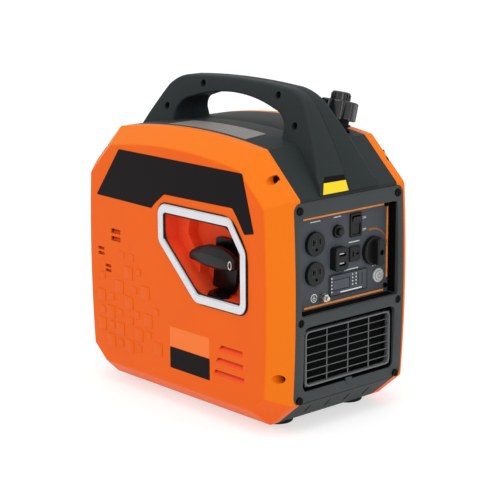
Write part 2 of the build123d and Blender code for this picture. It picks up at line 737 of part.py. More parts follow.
def display_window():
    y0, y1, z0, z1 = display_glass
    gap = loose_clear
    return front_slab(plate_x + 1, plate_x + 2.3, y0 + gap, y1 - gap, z0 + gap, z1 - gap, 0.8)


def button_bezel():
    y, z = button_place
    ring = rod_x(button_bezel_r, plate_x, plate_x + 3, y, z)
    ring = fillet(ring.edges().filter_by(lambda e: e.center().X > plate_x + 2.9), 1.2)
    ring += rod_x(button_body_r, plate_x - 18, plate_x, y, z)
    return ring - rod_x(button_r + run_clear, plate_x - 12, plate_x + 5, y, z)


def start_button():
    y, z = button_place
    pin = rod_x(button_r, plate_x - 12 + button_travel + 0.5, plate_x + 4.5, y, z)
    return fillet(pin.edges().filter_by(lambda e: e.center().X > plate_x + 4.4), 1.0)


def ground_stud():
    y, z = ground_place
    collar = extrude(Plane.YZ.offset(plate_x) * Pos(y, z) * RegularPolygon(6.5, 6), 3.0)
    return collar + rod_x(stud_r, plate_x - 12, plate_x + 13, y, z)


def ground_nut():
    y, z = ground_place
    nut = extrude(Plane.YZ.offset(plate_x + 3.3) * Pos(y, z) * RegularPolygon(6.0, 6), 5.0)
    return nut - rod_x(stud_r + run_clear, plate_x, plate_x + 20, y, z)


def inlet_grille():
    gap = seam
    back = grille_x - grille_depth
    y1, z0, z1 = grille_half - gap, grille_low + gap, grille_high - gap
    plate = front_slab(back, grille_x, -y1, y1, z0, z1, 9.0)
    wide = (2 * y1 - 2 * grille_rim - (grille_columns - 1) * grille_bar) / grille_columns
    tall = (z1 - z0 - 2 * grille_rim - (grille_rows - 1) * grille_bar) / grille_rows
    for column in range(grille_columns):
        for row in range(grille_rows):
            y = -y1 + grille_rim + column * (wide + grille_bar)
            z = z0 + grille_rim + row * (tall + grille_bar)
            plate -= box(back - 1, grille_x + 1, y, y + wide, z, z + tall)
    return plate


# Fuel system

def fuel_tank():
    tank = box(-tank_half_x, tank_half_x, -tank_half_y, tank_half_y, tank_low, tank_high)
    tank = fillet(tank.edges().filter_by(Axis.Z), 24.0)
    inner = box(-tank_half_x + tank_wall, tank_half_x - tank_wall, -tank_half_y + tank_wall,
                tank_half_y - tank_wall, tank_low + tank_wall, tank_high - tank_wall)
    inner = fillet(inner.edges().filter_by(Axis.Z), 24.0 - tank_wall)
    return tank - inner - filler_rod(neck_bore, -45, 0)


bellows_low, bellows_pitch, bellows_count = -13.0, 6.0, 4


def filler_neck():
    """Rubber filler neck between tank and cap, with bellows ribs where it passes the cover."""
    neck = filler_rod(neck_r, -30, neck_top)
    for k in range(bellows_count):
        low = bellows_low + k * bellows_pitch
        neck += filler_rod(bellows_r, low, low + bellows_pitch / 2)
    neck -= filler_rod(neck_bore, -60, 60)
    return neck & box(-FAR, FAR, -FAR, FAR, tank_high, FAR)


cap_ceiling = neck_top + 2 * seam + gasket_thick
cap_scallops = 10


def cap_gasket():
    low = neck_top + seam
    return filler_rod(neck_r, low, low + gasket_thick) - filler_rod(neck_bore, low - 1, low + 10)


def fuel_cap():
    cap = filler_rod(cap_r, cap_low, cap_high)
    cap = fillet(cap.edges(), 3.0)
    for k in range(cap_scallops):
        turn = Rot(0, 0, 360 / cap_scallops * k)
        cap -= filler_plane * turn * Pos(cap_r + 5, 0, (cap_low + cap_high) / 2) * Cylinder(7.5, 40)
    cap -= filler_rod(neck_r + 0.4, cap_low - 1, cap_ceiling)
    return cap - filler_rod(4.0 + run_clear, cap_high - 5, cap_high + 5)


knob_ribs = 16


def vent_knob():
    low = cap_high + seam
    knob = filler_rod(knob_r - 1.2, low, knob_high)
    knob = fillet(knob.edges().filter_by(lambda e: e.center().Z > filler_base[2] + 45), 2.0)
    for k in range(knob_ribs):
        turn = Rot(0, 0, 360 / knob_ribs * k)
        place = Pos(knob_r - 2.0, 0, (low + knob_high - 3) / 2)
        knob += filler_plane * turn * place * Box(4.0, 2.2, knob_high - 3 - low)
    return knob + filler_rod(4.0, cap_high - 4.5, low)


hose_r = 4.0
hose_route = [(34, 80, tank_low), (34, 80, 288), (34, 108, 254), (34, 108, 214)]


def fuel_hose():
    path = FilletPolyline(*hose_route, radius=30)
    start = Plane(origin=hose_route[0], z_dir=(0, 0, -1))
    return sweep(start * Circle(hose_r), path)


def carburettor():
    body = box(head_front, 54, 94, 132, 166, 204)
    body = fillet(body.edges().filter_by(Axis.X), 6.0)
    return body + rod_z(14, 150, 166, 34, 112) + rod_z(7, 204, 214, 34, 108)


def air_cleaner():
    case = box(54, 122, 86, 137, 150, 236)
    return fillet(case.edges(), 8.0)


# Engine

def crankcase():
    """Crankcase, finned barrel and tank posts in one casting, on a flange for the rubber mounts."""
    case = box(case_rear, case_front, -60, 50, 100, case_top)
    case = fillet(case.edges().filter_by(Axis.X), 14.0)
    case += box(case_rear + 6, case_front - 6, -52, 44, case_low + 10, 110)
    case += box(case_rear - 2, case_front + 2, -64, 64, case_low, case_low + 12)
    case += rod_x(shroud_r, case_front - 4, case_front, 0, crank_z)
    case += rod_y(34, 40, head_y0, -33, crank_z)
    for k in range(6):
        y = 54 + k * 6.5
        case += box(-74, 8, y, y + 3, crank_z - 44, crank_z + 44)
    for x in (-62, -8):
        for y in (-40, 30):
            case += rod_z(6, case_top - 1, tank_low, x, y)
    case -= rod_x(46, -60, -6, 0, crank_z)
    case -= rod_y(26, -10, head_y0 + 1, -33, crank_z)
    case -= rod_x(crank_r + run_clear, case_rear - 10, case_front + 10, 0, crank_z)
    return case - rod_y(9.1, 20, 60, -20, 78)


def cylinder_head():
    head = box(head_rear, head_front, head_y0, head_y1, crank_z - 50, crank_z + 50)
    return fillet(head.edges().filter_by(Axis.Y), 6.0)


def rocker_cover():
    cover = box(-70, 4, head_y1, 134, crank_z - 40, crank_z + 40)
    cover = fillet(cover.edges().filter_by(Axis.Y), 10.0)
    return fillet(cover.edges().filter_by(lambda e: e.center().Y > 133.9), 4.0)


def spark_plug():
    base = crank_z + 50
    hexagon = extrude(Plane.XY.offset(base) * Pos(-33, 106) * RegularPolygon(10, 6), 9)
    return hexagon + rod_z(6, base + 9, base + 30, -33, 106)


def crankshaft():
    shaft = rod_x(crank_r, case_rear - 6, 66, 0, crank_z)
    for x0, x1 in ((-55, -42), (-24, -11)):
        shaft += rod_x(38, x0, x1, 0, crank_z)
    return shaft


def flywheel_rotor():
    rotor = rod_x(rotor_r, 20, 60, 0, crank_z) - rod_x(rotor_r - 6, 10, 54, 0, crank_z)
    rotor += rod_x(18, 50, 60, 0, crank_z)
    return rotor - rod_x(crank_r + run_clear, 0, 90, 0, crank_z)


fan_blades = 14


def cooling_fan():
    fan = rod_x(fan_r, 60, 62.5, 0, crank_z) - rod_x(crank_r + run_clear, 50, 90, 0, crank_z)
    for k in range(fan_blades):
        blade = box(62, pull_x - rope_r - 1.5, -1.2, 1.2, pulley_r + 4, fan_r - 1)
        fan += Pos(0, 0, crank_z) * Rot(360 / fan_blades * k, 0, 0) * blade
    return fan


def stator():
    ring = rod_x(53, 24, 48, 0, crank_z) + rod_x(28, case_front, 30, 0, crank_z)
    for k in range(12):
        slot = box(20, 60, -4, 4, 34, 60)
        ring -= Pos(0, 0, crank_z) * Rot(30 * k, 0, 0) * slot
    return ring - rod_x(22, 0, 90, 0, crank_z)


pulley_rear, pulley_front = pull_x - pulley_half, pull_x + pulley_half
post_r = 8.0


def recoil_pulley():
    pulley = rod_x(pulley_r, pulley_rear, pulley_front, 0, crank_z)
    groove = rod_x(pulley_r + 5, pull_x - 3, pull_x + 3, 0, crank_z)
    groove -= rod_x(pulley_groove_r, pull_x - 5, pull_x + 5, 0, crank_z)
    return pulley - groove - rod_x(post_r + run_clear, 0, 120, 0, crank_z)


def recoil_spring():
    """Wound power spring in its cassette, plain because it is hidden."""
    return rod_x(34, pulley_front + 0.8, 89.7, 0, crank_z) - rod_x(13, 70, 95, 0, crank_z)


def recoil_housing():
    """Starter and fan housing: a drum on the crankcase with a spoked front that carries the pulley."""
    front = shroud_front - 3
    drum = rod_x(shroud_r, case_front, shroud_front, 0, crank_z)
    drum -= rod_x(shroud_r - 3, case_front - 5, front, 0, crank_z)
    for k in range(6):
        gap = box(front - 5, shroud_front + 5, -16, 16, 46, 68)
        drum -= Pos(0, 0, crank_z) * Rot(60 * k + 30, 0, 0) * gap
    drum += rod_x(post_r, pulley_rear + 0.5, front + 1, 0, crank_z)
    return drum - rod_y(6, -shroud_r - 5, 0, pull_x, pull_z)


def muffler():
    x0, x1 = muffler_x
    can = fillet(box(x0, x1, -70, 116, 150, 262).edges(), 16.0)
    return can + rod_x(11, x1 - 5, head_rear, 98, crank_z)


def tail_pipe():
    pipe = rod_x(exhaust_r, -edge_x - 3.5, muffler_x[0], exhaust_y, exhaust_z)
    return pipe - rod_x(exhaust_r - 2, -FAR, muffler_x[0] - 5, exhaust_y, exhaust_z)


def oil_filler_cap():
    return rod_y(15, 50, 66, -20, 78) + rod_y(9, 28, 50, -20, 78) - box(-21, -19, 60, 80, 60, 96)


def engine_mounts():
    return group([rod_z(14, boss_high, case_low, x, y) for x in mount_x for y in (-mount_y, mount_y)])


def inverter_module():
    """Power electronics in a finned tray behind the inlet grille."""
    x0, x1 = module_x
    body = box(x0, x1 - 22, -module_half, module_half, *module_z)
    count = 13
    for k in range(count):
        y = -module_half + 4 + k * (2 * module_half - 8 - 3) / (count - 1)
        body += box(x1 - 24, x1, y, y + 3, module_z[0], module_z[1])
    return body


pieces = {
    "left_side_cover": left_side_cover, "right_side_cover": right_side_cover,
    "service_cover": service_cover, "side_cover_screws": cover_screws, "starter_trim": starter_trim,
    "starter_pocket": starter_pocket, "rope_guide": rope_guide, "starter_grip": starter_grip,
    "starter_rope": starter_rope, "left_top_cover": left_top_cover,
    "right_top_cover": right_top_cover, "handle_screws": handle_screws,
    "front_bezel": front_bezel, "panel_screws": panel_screws, "rear_cover": rear_cover,
    "base_tray": base_tray, "rubber_feet": rubber_feet,
    "control_plate": control_plate, "control_plate_screws": plate_screws,
    "breaker_body": breaker_body, "breaker_button": breaker_button,
    "eco_switch_frame": eco_switch_frame, "eco_rocker": eco_rocker, "usb_socket": usb_socket,
    "dc_socket": dc_socket, "engine_dial": engine_dial, "dial_valve": dial_valve,
    "display_frame": display_frame, "display_window": display_window,
    "button_bezel": button_bezel, "start_button": start_button, "ground_stud": ground_stud,
    "ground_nut": ground_nut, "inlet_grille": inlet_grille, "fuel_tank": fuel_tank,
    "filler_neck": filler_neck, "cap_gasket": cap_gasket, "fuel_cap": fuel_cap,
    "vent_knob": vent_knob, "fuel_hose": fuel_hose, "carburettor": carburettor,
    "air_cleaner": air_cleaner, "crankcase": crankcase, "cylinder_head": cylinder_head,
    "rocker_cover": rocker_cover, "spark_plug": spark_plug,
    "crankshaft": crankshaft, "flywheel_rotor": flywheel_rotor, "cooling_fan": cooling_fan,
    "stator": stator, "recoil_pulley": recoil_pulley, "recoil_spring": recoil_spring,
    "recoil_housing": recoil_housing, "muffler": muffler,
    "tail_pipe": tail_pipe, "oil_filler_cap": oil_filler_cap, "engine_mounts": engine_mounts,
    "inverter_module": inverter_module,
}
for name, place in outlet_places.items():
    pieces[name] = lambda place=place: outlet(place)

os.makedirs("parts", exist_ok=True)
for name, make in pieces.items():
    export_step(make(), f"parts/{name}.step")
print(len(pieces), "pieces written")
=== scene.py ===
# %% [markdown]
# A portable inverter generator, dressed in Blender.
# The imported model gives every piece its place, its size and the way it moves. This lesson gives
# each piece its finish, rounds the edges that a mould would round, and adds the thin things that
# sit on the surfaces: labels, printed lines, tile relief and blades inside the vents.

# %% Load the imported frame
import bmesh
import bpy
import json
import math
from mathutils import Matrix, Vector

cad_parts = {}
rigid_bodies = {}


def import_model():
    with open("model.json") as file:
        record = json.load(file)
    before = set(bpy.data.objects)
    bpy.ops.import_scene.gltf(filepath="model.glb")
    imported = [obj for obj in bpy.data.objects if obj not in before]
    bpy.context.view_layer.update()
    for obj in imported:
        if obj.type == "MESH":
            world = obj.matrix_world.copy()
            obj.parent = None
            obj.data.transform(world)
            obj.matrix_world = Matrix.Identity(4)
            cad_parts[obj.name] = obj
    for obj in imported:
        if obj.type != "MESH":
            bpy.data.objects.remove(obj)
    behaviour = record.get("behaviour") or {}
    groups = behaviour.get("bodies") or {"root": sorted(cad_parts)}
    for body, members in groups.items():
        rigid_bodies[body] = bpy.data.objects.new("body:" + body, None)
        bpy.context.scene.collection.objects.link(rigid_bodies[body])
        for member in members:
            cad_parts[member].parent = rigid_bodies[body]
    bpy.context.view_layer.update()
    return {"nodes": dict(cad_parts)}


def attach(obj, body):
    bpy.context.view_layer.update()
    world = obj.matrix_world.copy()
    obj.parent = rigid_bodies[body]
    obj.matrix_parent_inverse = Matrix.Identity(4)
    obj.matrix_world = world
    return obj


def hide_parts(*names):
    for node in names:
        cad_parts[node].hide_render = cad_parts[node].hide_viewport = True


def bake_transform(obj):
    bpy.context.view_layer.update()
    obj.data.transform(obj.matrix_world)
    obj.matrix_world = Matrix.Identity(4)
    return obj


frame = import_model()
nodes = frame["nodes"]
MM = 0.001
print("pieces in the frame:", len(nodes))

# %% [markdown]
# The camera stands where a photographer with a long lens would stand: in front of the corner
# between the starter side and the control panel, a little above the handle. A long lens keeps the
# vertical edges almost parallel. The turn is built from the view direction, so that azimuth,
# elevation and the slight roll stay readable numbers.

# %% Camera
camera_place = Vector((1785.4, -1598.8, 781.3)) * MM
camera_azimuth, camera_elevation, camera_roll = (math.radians(a) for a in (47.97, 13.24, -0.26))
camera_lens = 116.0

back = Vector((math.sin(camera_azimuth) * math.cos(camera_elevation),
               -math.cos(camera_azimuth) * math.cos(camera_elevation), math.sin(camera_elevation)))
right = Vector((math.cos(camera_azimuth), math.sin(camera_azimuth), 0))
turn = Matrix((right, back.cross(right), back)).transposed() @ Matrix.Rotation(camera_roll, 3, "Z")
bpy.ops.object.camera_add(location=camera_place, rotation=turn.to_euler())
camera = bpy.context.object
camera.data.lens = camera_lens
camera.data.sensor_width = 36.0
bpy.context.scene.camera = camera
print("camera stands", round(camera_place.length, 3), "m from the origin")

# %% [markdown]
# The studio is a wide pale floor under soft light. The world is white and gets brighter towards
# the top, as under a light tent, so that slopes that look up are lighter than walls, and rounded
# edges carry a light line. One large lamp overhead lifts the slopes that face up, a weak one by the
# camera's left shoulder wakes the starter side, and one in front of the panel lights the chamfers
# beside it. The paper glows a little, like one on a light table, so that the orange sides don't
# colour it.

# %% Studio
def linear(hex_colour):
    """An sRGB hex colour as the linear values that shaders work with."""
    channels = [int(hex_colour[i:i + 2], 16) / 255 for i in (1, 3, 5)]
    return [c / 12.92 if c <= 0.04045 else ((c + 0.055) / 1.055) ** 2.4 for c in channels] + [1.0]


def add(tree, kind, inputs=(), **settings):
    """Add a shader node. An input given as a socket is linked, any other value is set."""
    node = tree.nodes.new(kind)
    for key, value in settings.items():
        setattr(node, key, value)
    for key, value in dict(inputs).items():
        if isinstance(value, bpy.types.NodeSocket):
            tree.links.new(value, node.inputs[key])
        else:
            node.inputs[key].default_value = value
    return node


body_middle = Vector((0, 0, 0.24))


def lamp(name, place, size, power):
    """A soft square lamp that looks at the middle of the object."""
    place = Vector(place)
    aim = (place - body_middle).to_track_quat("Z", "Y")
    bpy.ops.object.light_add(type="AREA", location=place, rotation=aim.to_euler())
    bpy.context.object.name = name
    bpy.context.object.data.size = size
    bpy.context.object.data.energy = power


# How bright the tent is at the horizon and higher up, and how far up, from 0 to 1, it is brightest.
tent_horizon, tent_above, tent_height = 0.62, 1.22, 0.9
world = bpy.data.worlds.new("studio")
world.use_nodes = True
tree = world.node_tree
background = tree.nodes["Background"]
background.inputs["Color"].default_value = linear("#FFFFFF")
heights = add(tree, "ShaderNodeSeparateXYZ", {0: add(tree, "ShaderNodeTexCoord").outputs["Generated"]})
tent = add(tree, "ShaderNodeMapRange", {0: heights.outputs[2], 1: 0.0, 2: tent_height,
                                        3: tent_horizon, 4: tent_above})
tree.links.new(tent.outputs[0], background.inputs["Strength"])
bpy.context.scene.world = world
bpy.context.scene.view_settings.view_transform = "Standard"
lamp("lamp_overhead", (0.6, -0.4, 2.6), 1.6, 12)
lamp("lamp_left", (0.2, -2.4, 1.3), 1.2, 3)
lamp("lamp_front", (2.5, -0.9, 1.1), 0.9, 6)

floor_metres = 40
bpy.ops.object.select_all(action="DESELECT")
bpy.ops.mesh.primitive_plane_add(size=floor_metres)
floor = bpy.context.object
floor.name = "floor"
paper = bpy.data.materials.new("pale_studio_paper")
paper.use_nodes = True
paper_look = {"Base Color": linear("#B4B4B4"), "Roughness": 0.9, "Specular IOR Level": 0.1,
              "Emission Color": linear("#FFFFFF"), "Emission Strength": 0.6}
for socket, value in paper_look.items():
    paper.node_tree.nodes["Principled BSDF"].inputs[socket].default_value = value
floor.data.materials.append(paper)

# %% [markdown]
# Most of the machine is injection moulded plastic. What the eye reads as plastic is a calm colour
# with slow drifts from the melt, and the fine grain that was etched into the mould, which breaks
# up the gloss. So one recipe serves every moulded or cast piece: slow clouds tint the colour, and
# a fine grain drives roughness and bump. The real grain is about 0.3 mm; it is drawn some three
# times coarser, because finer grain would vanish between the pixels.

# %% The recipe for moulded and cast surfaces
# Most of a noise lies between these values, and the roughness swings this far down and up with it.
noise_low, noise_high = 0.3, 0.7
rough_down, rough_up = 0.05, 0.07


def surface(name, colour, shade, roughness, grain_mm, grain_depth_mm, cloud_mm, metallic=0.0, gloss=0.35):
    """A material whose colour drifts between two tones, with a fine grain in gloss and bump."""
    material = bpy.data.materials.new(name)
    material.use_nodes = True
    tree = material.node_tree
    shader = tree.nodes["Principled BSDF"]
    shader.inputs["Metallic"].default_value = metallic
    if not metallic:
        shader.inputs["Specular IOR Level"].default_value = gloss
    place = add(tree, "ShaderNodeTexCoord").outputs["Object"]
    clouds = add(tree, "ShaderNodeTexNoise", {"Vector": place, "Scale": 1 / (cloud_mm * MM), "Detail": 3.0})
    tint = add(tree, "ShaderNodeMix", {0: clouds.outputs[0], 6: linear(colour), 7: linear(shade)},
               data_type="RGBA")
    grain = add(tree, "ShaderNodeTexNoise", {"Vector": place, "Scale": 1 / (grain_mm * MM), "Detail": 2.0})
    rough = add(tree, "ShaderNodeMapRange", {0: grain.outputs[0], 1: noise_low, 2: noise_high,
                                             3: roughness - rough_down, 4: roughness + rough_up})
    bump = add(tree, "ShaderNodeBump", {"Height": grain.outputs[0], "Distance": grain_depth_mm * MM})
    tree.links.new(tint.outputs[2], shader.inputs["Base Color"])
    tree.links.new(rough.outputs[0], shader.inputs["Roughness"])
    tree.links.new(bump.outputs[0], shader.inputs["Normal"])
    return material


# Dyed ABS, moulded with a fine satin grain: warm, even, with soft highlights.
orange_abs = surface("orange_abs_satin", "#E76007", "#E15A05", 0.45, 1.0, 0.02, 90.0, gloss=0.12)
# The pocket is moulded in a redder batch, and sits in its own shade.
pocket_abs = surface("red_orange_abs", "#F6562C", "#EE4E26", 0.48, 1.0, 0.02, 60.0, gloss=0.12)
# Filled polypropylene with a coarse leather grain: dark grey that scatters the light.
black_pp = surface("black_polypropylene_grained", "#252B2B", "#202626", 0.55, 1.6, 0.06, 80.0, gloss=0.16)
# The bezel and the rear cover are the same plastic from a lighter batch.
bezel_pp = surface("graphite_polypropylene_grained", "#3A3E3E", "#333737", 0.5, 1.6, 0.05, 60.0, gloss=0.24)
# The inlet grille is moulded a shade lighter again, and its bars catch the light.
grille_pp = surface("grey_polypropylene_bars", "#6E7171", "#666969", 0.45, 1.2, 0.03, 40.0, gloss=0.3)
# Smooth nylon of the panel fittings, black and a little glossier.
fitting_nylon = surface("black_nylon_smooth", "#151617", "#111213", 0.36, 0.8, 0.012, 30.0, gloss=0.25)
# Printed polycarbonate overlay, blue grey, with a velvet finish.
plate_overlay = surface("blue_grey_overlay_velvet", "#4A4E54", "#44484D", 0.55, 0.7, 0.01, 50.0, gloss=0.2)
# The fuel cap and its vent knob are polished in the mould, so their flutes carry bright lines.
cap_nylon = surface("black_nylon_polished", "#181A1B", "#131516", 0.2, 0.8, 0.006, 30.0, gloss=0.6)
# The rope guide is black acetal, which the rope can't saw into: deep black with a hard shine.
guide_acetal = surface("black_acetal_polished", "#08090A", "#060707", 0.24, 0.8, 0.006, 30.0, gloss=0.16)
# Nitrile rubber: dull, with bloom drifting over it.
rubber = surface("nitrile_rubber_dull", "#121314", "#18191A", 0.75, 1.2, 0.05, 18.0, gloss=0.15)
# Blackened screws: phosphate over steel, dark and slightly oily.
black_screw = surface("phosphated_screw_steel", "#0B0C0D", "#070808", 0.3, 0.6, 0.015, 6.0, gloss=0.08)
# Nickel plate on the earth stud and nut.
nickel = surface("nickel_plated_steel", "#D2CFC6", "#BDB9AE", 0.24, 0.6, 0.01, 8.0, metallic=1.0)
# Blow moulded polyethylene of the tank.
tank_pe = surface("blow_moulded_polyethylene", "#202325", "#2A2E30", 0.55, 4.0, 0.2, 60.0, gloss=0.25)
# Sand cast aluminium of the engine, with its rough skin.
cast_aluminium = surface("cast_aluminium_skin", "#8D8F91", "#74777A", 0.55, 1.5, 0.12, 25.0, metallic=0.85)
# Mild steel, oiled, with faint bluing where it gets hot.
oiled_steel = surface("oiled_mild_steel", "#7A7B7C", "#5E6062", 0.38, 1.0, 0.03, 30.0, metallic=1.0)
# Enamelled copper of the windings.
winding_copper = surface("enamelled_copper", "#B4622F", "#8F4A22", 0.34, 1.2, 0.08, 10.0, metallic=0.9)
# Satin silver paint on the push button.
silver_paint = surface("silver_satin_paint", "#B9BAB8", "#A7A8A7", 0.32, 0.6, 0.01, 12.0, metallic=0.35)
# Smoked acrylic over the display.
smoked_acrylic = surface("smoked_acrylic_window", "#39404C", "#2F3540", 0.12, 2.0, 0.004, 20.0, gloss=0.5)
# Vinyl of the labels, calendered smooth.
black_vinyl = surface("black_vinyl_film", "#140F10", "#110D0E", 0.4, 1.4, 0.008, 60.0, gloss=0.06)
grey_vinyl = surface("grey_vinyl_film", "#4A4C4E", "#434547", 0.4, 1.4, 0.008, 40.0, gloss=0.25)
pale_vinyl = surface("pale_grey_vinyl_film", "#827F7C", "#787572", 0.4, 1.4, 0.008, 40.0, gloss=0.2)
amber_vinyl = surface("amber_vinyl_film", "#EE7424", "#E96E1E", 0.4, 1.4, 0.008, 40.0, gloss=0.25)
yellow_vinyl = surface("yellow_vinyl_film", "#F2D21C", "#E8C714", 0.4, 1.4, 0.008, 20.0, gloss=0.25)
# Screen printing inks on the overlay.
orange_ink = surface("orange_screen_ink", "#FF9A40", "#F58E34", 0.5, 0.8, 0.01, 12.0, gloss=0.25)
faded_ink = surface("faded_orange_screen_ink", "#9A6438", "#8E5A30", 0.5, 0.8, 0.01, 12.0, gloss=0.25)
white_ink = surface("white_screen_ink", "#E4E6E6", "#D6D9DA", 0.5, 0.8, 0.01, 8.0, gloss=0.25)
# Near-black for the screen behind the inlet and the linings of the recesses: painted shade, for the dark
# inside.
painted_shade_black = surface("painted_shade_screen", "#08090A", "#0D0E0F", 0.8, 1.5, 0.1, 12.0, gloss=0.04)
# Near-black line round the bright trim: painted shade, for the shadow in the gaps on both sides of the ring.
shadow_gap_line = surface("painted_shadow_gap_line", "#2A1210", "#1E0F0E", 0.6, 1.0, 0.02, 20.0, gloss=0.2)
print("materials in the file:", len(bpy.data.materials))

# %% [markdown]
# The slopes and chamfers of the orange covers read yellower than their flat walls. A warm lamp could give
# that, but it would tint the black pieces too. So the yellower tone is painted light: the surface normal
# mixes a yellower orange in where a face slants away from the wall, and leaves out the faces that look down.

# %% Painted warm light on the slopes of the orange covers
# The painted warm light starts and is full at these sideways shares of the normal, and at these upward ones.
wall_y, slope_y = 0.96, 0.72
down_z, level_z = -0.5, -0.2
tree = orange_abs.node_tree
base = tree.nodes["Principled BSDF"].inputs["Base Color"]
facing = add(tree, "ShaderNodeSeparateXYZ", {0: add(tree, "ShaderNodeTexCoord").outputs["Normal"]})
flatness = add(tree, "ShaderNodeMath", {0: facing.outputs[1]}, operation="ABSOLUTE")
slant = add(tree, "ShaderNodeMapRange", {0: flatness.outputs[0], 1: wall_y, 2: slope_y, 3: 0.0, 4: 1.0})
lit = add(tree, "ShaderNodeMapRange", {0: facing.outputs[2], 1: down_z, 2: level_z, 3: 0.0, 4: 1.0})
share = add(tree, "ShaderNodeMath", {0: slant.outputs[0], 1: lit.outputs[0]}, operation="MULTIPLY")
# Painted light: a yellower orange on the slopes that face up or forward.
painted_warm_light = add(tree, "ShaderNodeMix", {0: share.outputs[0], 6: base.links[0].from_socket,
                                    7: linear("#E47007")}, data_type="RGBA")
tree.links.new(painted_warm_light.outputs[2], base)
print("orange nodes:", len(tree.nodes))

# %% [markdown]
# The bright ring round the pocket is satin chrome on plastic. Chrome has no colour of its own:
# it is bright because the studio is bright. The satin comes from brushing along the ring before
# plating, so the noise is stretched along X, the ring's long direction, and drives the roughness.
# The flanks that look to the front would reflect the dark side of the room, so the surface normal mixes a
# dark tone in there: a painted dark reflection.

# %% Satin chrome
satin_chrome = surface("satin_chrome_plate", "#D9DADD", "#CBCCD0", 0.2, 1.0, 0.004, 30.0, metallic=1.0)
brush_mm, brush_stretch = 1.2, 0.04
brush_low, brush_high, brush_smooth, brush_dull = 0.35, 0.65, 0.13, 0.26
# The painted dark reflection starts and is full at these forward shares of the normal.
reflect_start_x, reflect_full_x = 0.25, 0.7
tree = satin_chrome.node_tree
shader = tree.nodes["Principled BSDF"]
base = shader.inputs["Base Color"]
stretch = add(tree, "ShaderNodeMapping", {"Vector": add(tree, "ShaderNodeTexCoord").outputs["Object"],
                                          "Scale": (brush_stretch, 1.0, 1.0)})
lines = add(tree, "ShaderNodeTexNoise", {"Vector": stretch.outputs[0], "Scale": 1 / (brush_mm * MM),
                                         "Detail": 2.0})
brushed = add(tree, "ShaderNodeMapRange", {0: lines.outputs[0], 1: brush_low, 2: brush_high,
                                           3: brush_smooth, 4: brush_dull})
tree.links.new(brushed.outputs[0], shader.inputs["Roughness"])
flank = add(tree, "ShaderNodeSeparateXYZ", {0: add(tree, "ShaderNodeTexCoord").outputs["Normal"]})
thin = add(tree, "ShaderNodeMapRange", {0: flank.outputs[0], 1: reflect_start_x, 2: reflect_full_x, 3: 0.0, 4: 1.0})
# Painted reflection: a dark tone on the flanks that look to the front.
painted_dark_reflection = add(tree, "ShaderNodeMix", {0: thin.outputs[0], 6: base.links[0].from_socket,
                                      7: linear("#2E2426")}, data_type="RGBA")
tree.links.new(painted_dark_reflection.outputs[2], base)
print("chrome nodes:", len(tree.nodes))

# %% [markdown]
# The starter rope is braided polyester. A braid shows as two sets of slanted lines that cross, so
# two wave patterns on the tube's own UV map run in opposite slants, and their product is a field
# of small diamonds. The strands are about 1 mm wide.

# %% Braided rope
weave_round, weave_along, weave_scale, weave_high = 8.0, 60.0, 0.35, 0.3
braid = bpy.data.materials.new("braided_polyester")
braid.use_nodes = True
tree = braid.node_tree
uv = add(tree, "ShaderNodeTexCoord").outputs["UV"]
strands = []
for slant in (1, -1):
    turned = add(tree, "ShaderNodeMapping", {"Vector": uv, "Scale": (weave_round, weave_along * slant, 1.0)})
    strands.append(add(tree, "ShaderNodeTexWave", {"Vector": turned.outputs[0], "Scale": weave_scale},
                       bands_direction="DIAGONAL"))
weave = add(tree, "ShaderNodeMath", {0: strands[0].outputs["Fac"], 1: strands[1].outputs["Fac"]},
            operation="MULTIPLY")
cloth = add(tree, "ShaderNodeMix", {0: weave.outputs[0], 6: linear("#1B1C1D"), 7: linear("#5A5D5E")},
            data_type="RGBA")
raised = add(tree, "ShaderNodeBump", {"Height": weave.outputs[0], "Distance": weave_high * MM})
shader = tree.nodes["Principled BSDF"]
tree.links.new(cloth.outputs[2], shader.inputs["Base Color"])
tree.links.new(raised.outputs[0], shader.inputs["Normal"])
shader.inputs["Roughness"].default_value = 0.8
print("braid nodes:", len(tree.nodes))

# %% [markdown]
# Every piece of the frame now gets the finish of what it is made of. The record already sorts the
# pieces into material slots, so one table from slot to finish dresses them all, and a second one
# names the pieces that differ from their slot.

# %% Dress the frame
finish_of_slot = {
    "orange_plastic": orange_abs, "pocket_red": pocket_abs, "black_plastic": black_pp,
    "control_grey": plate_overlay, "dark_plastic": fitting_nylon, "chrome": satin_chrome,
    "rubber": rubber, "rope": braid, "screw_steel": black_screw, "bright_steel": nickel,
    "white_plastic": silver_paint, "red_button": fitting_nylon, "lens": smoked_acrylic,
    "tank_plastic": tank_pe, "cast_metal": cast_aluminium, "steel": oiled_steel,
    "copper": winding_copper,
}


def wear(piece, finish):
    """Give a piece its finish, on the object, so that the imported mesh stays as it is."""
    if not piece.material_slots:
        piece.data.materials.append(None)
    piece.material_slots[0].link = "OBJECT"
    piece.material_slots[0].material = finish


slot_of_node = {}
finish_of_node = {"front_bezel": bezel_pp, "rear_cover": bezel_pp, "inlet_grille": grille_pp,
                  "tail_pipe": oiled_steel, "fuel_cap": cap_nylon, "vent_knob": cap_nylon,
                  "rope_guide": guide_acetal}
for name, node in nodes.items():
    slot_of_node[name] = node.data.materials[0].name.split(".")[0]
    wear(node, finish_of_node.get(name, finish_of_slot[slot_of_node[name]]))
print("slots dressed:", len(set(slot_of_node.values())))

# %% [markdown]
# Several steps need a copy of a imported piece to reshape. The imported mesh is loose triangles, so
# the copy is merged, its flat areas are dissolved, and they are cut into even triangles again. A
# large flat face with holes in it would fold over itself in a bevel, and triangles don't. Edges
# are then chosen by angle and by place.

# %% Copies to reshape, and how pieces are finished
def start_edit():
    """Leave nothing selected, ready for a new piece."""
    bpy.ops.object.select_all(action="DESELECT")


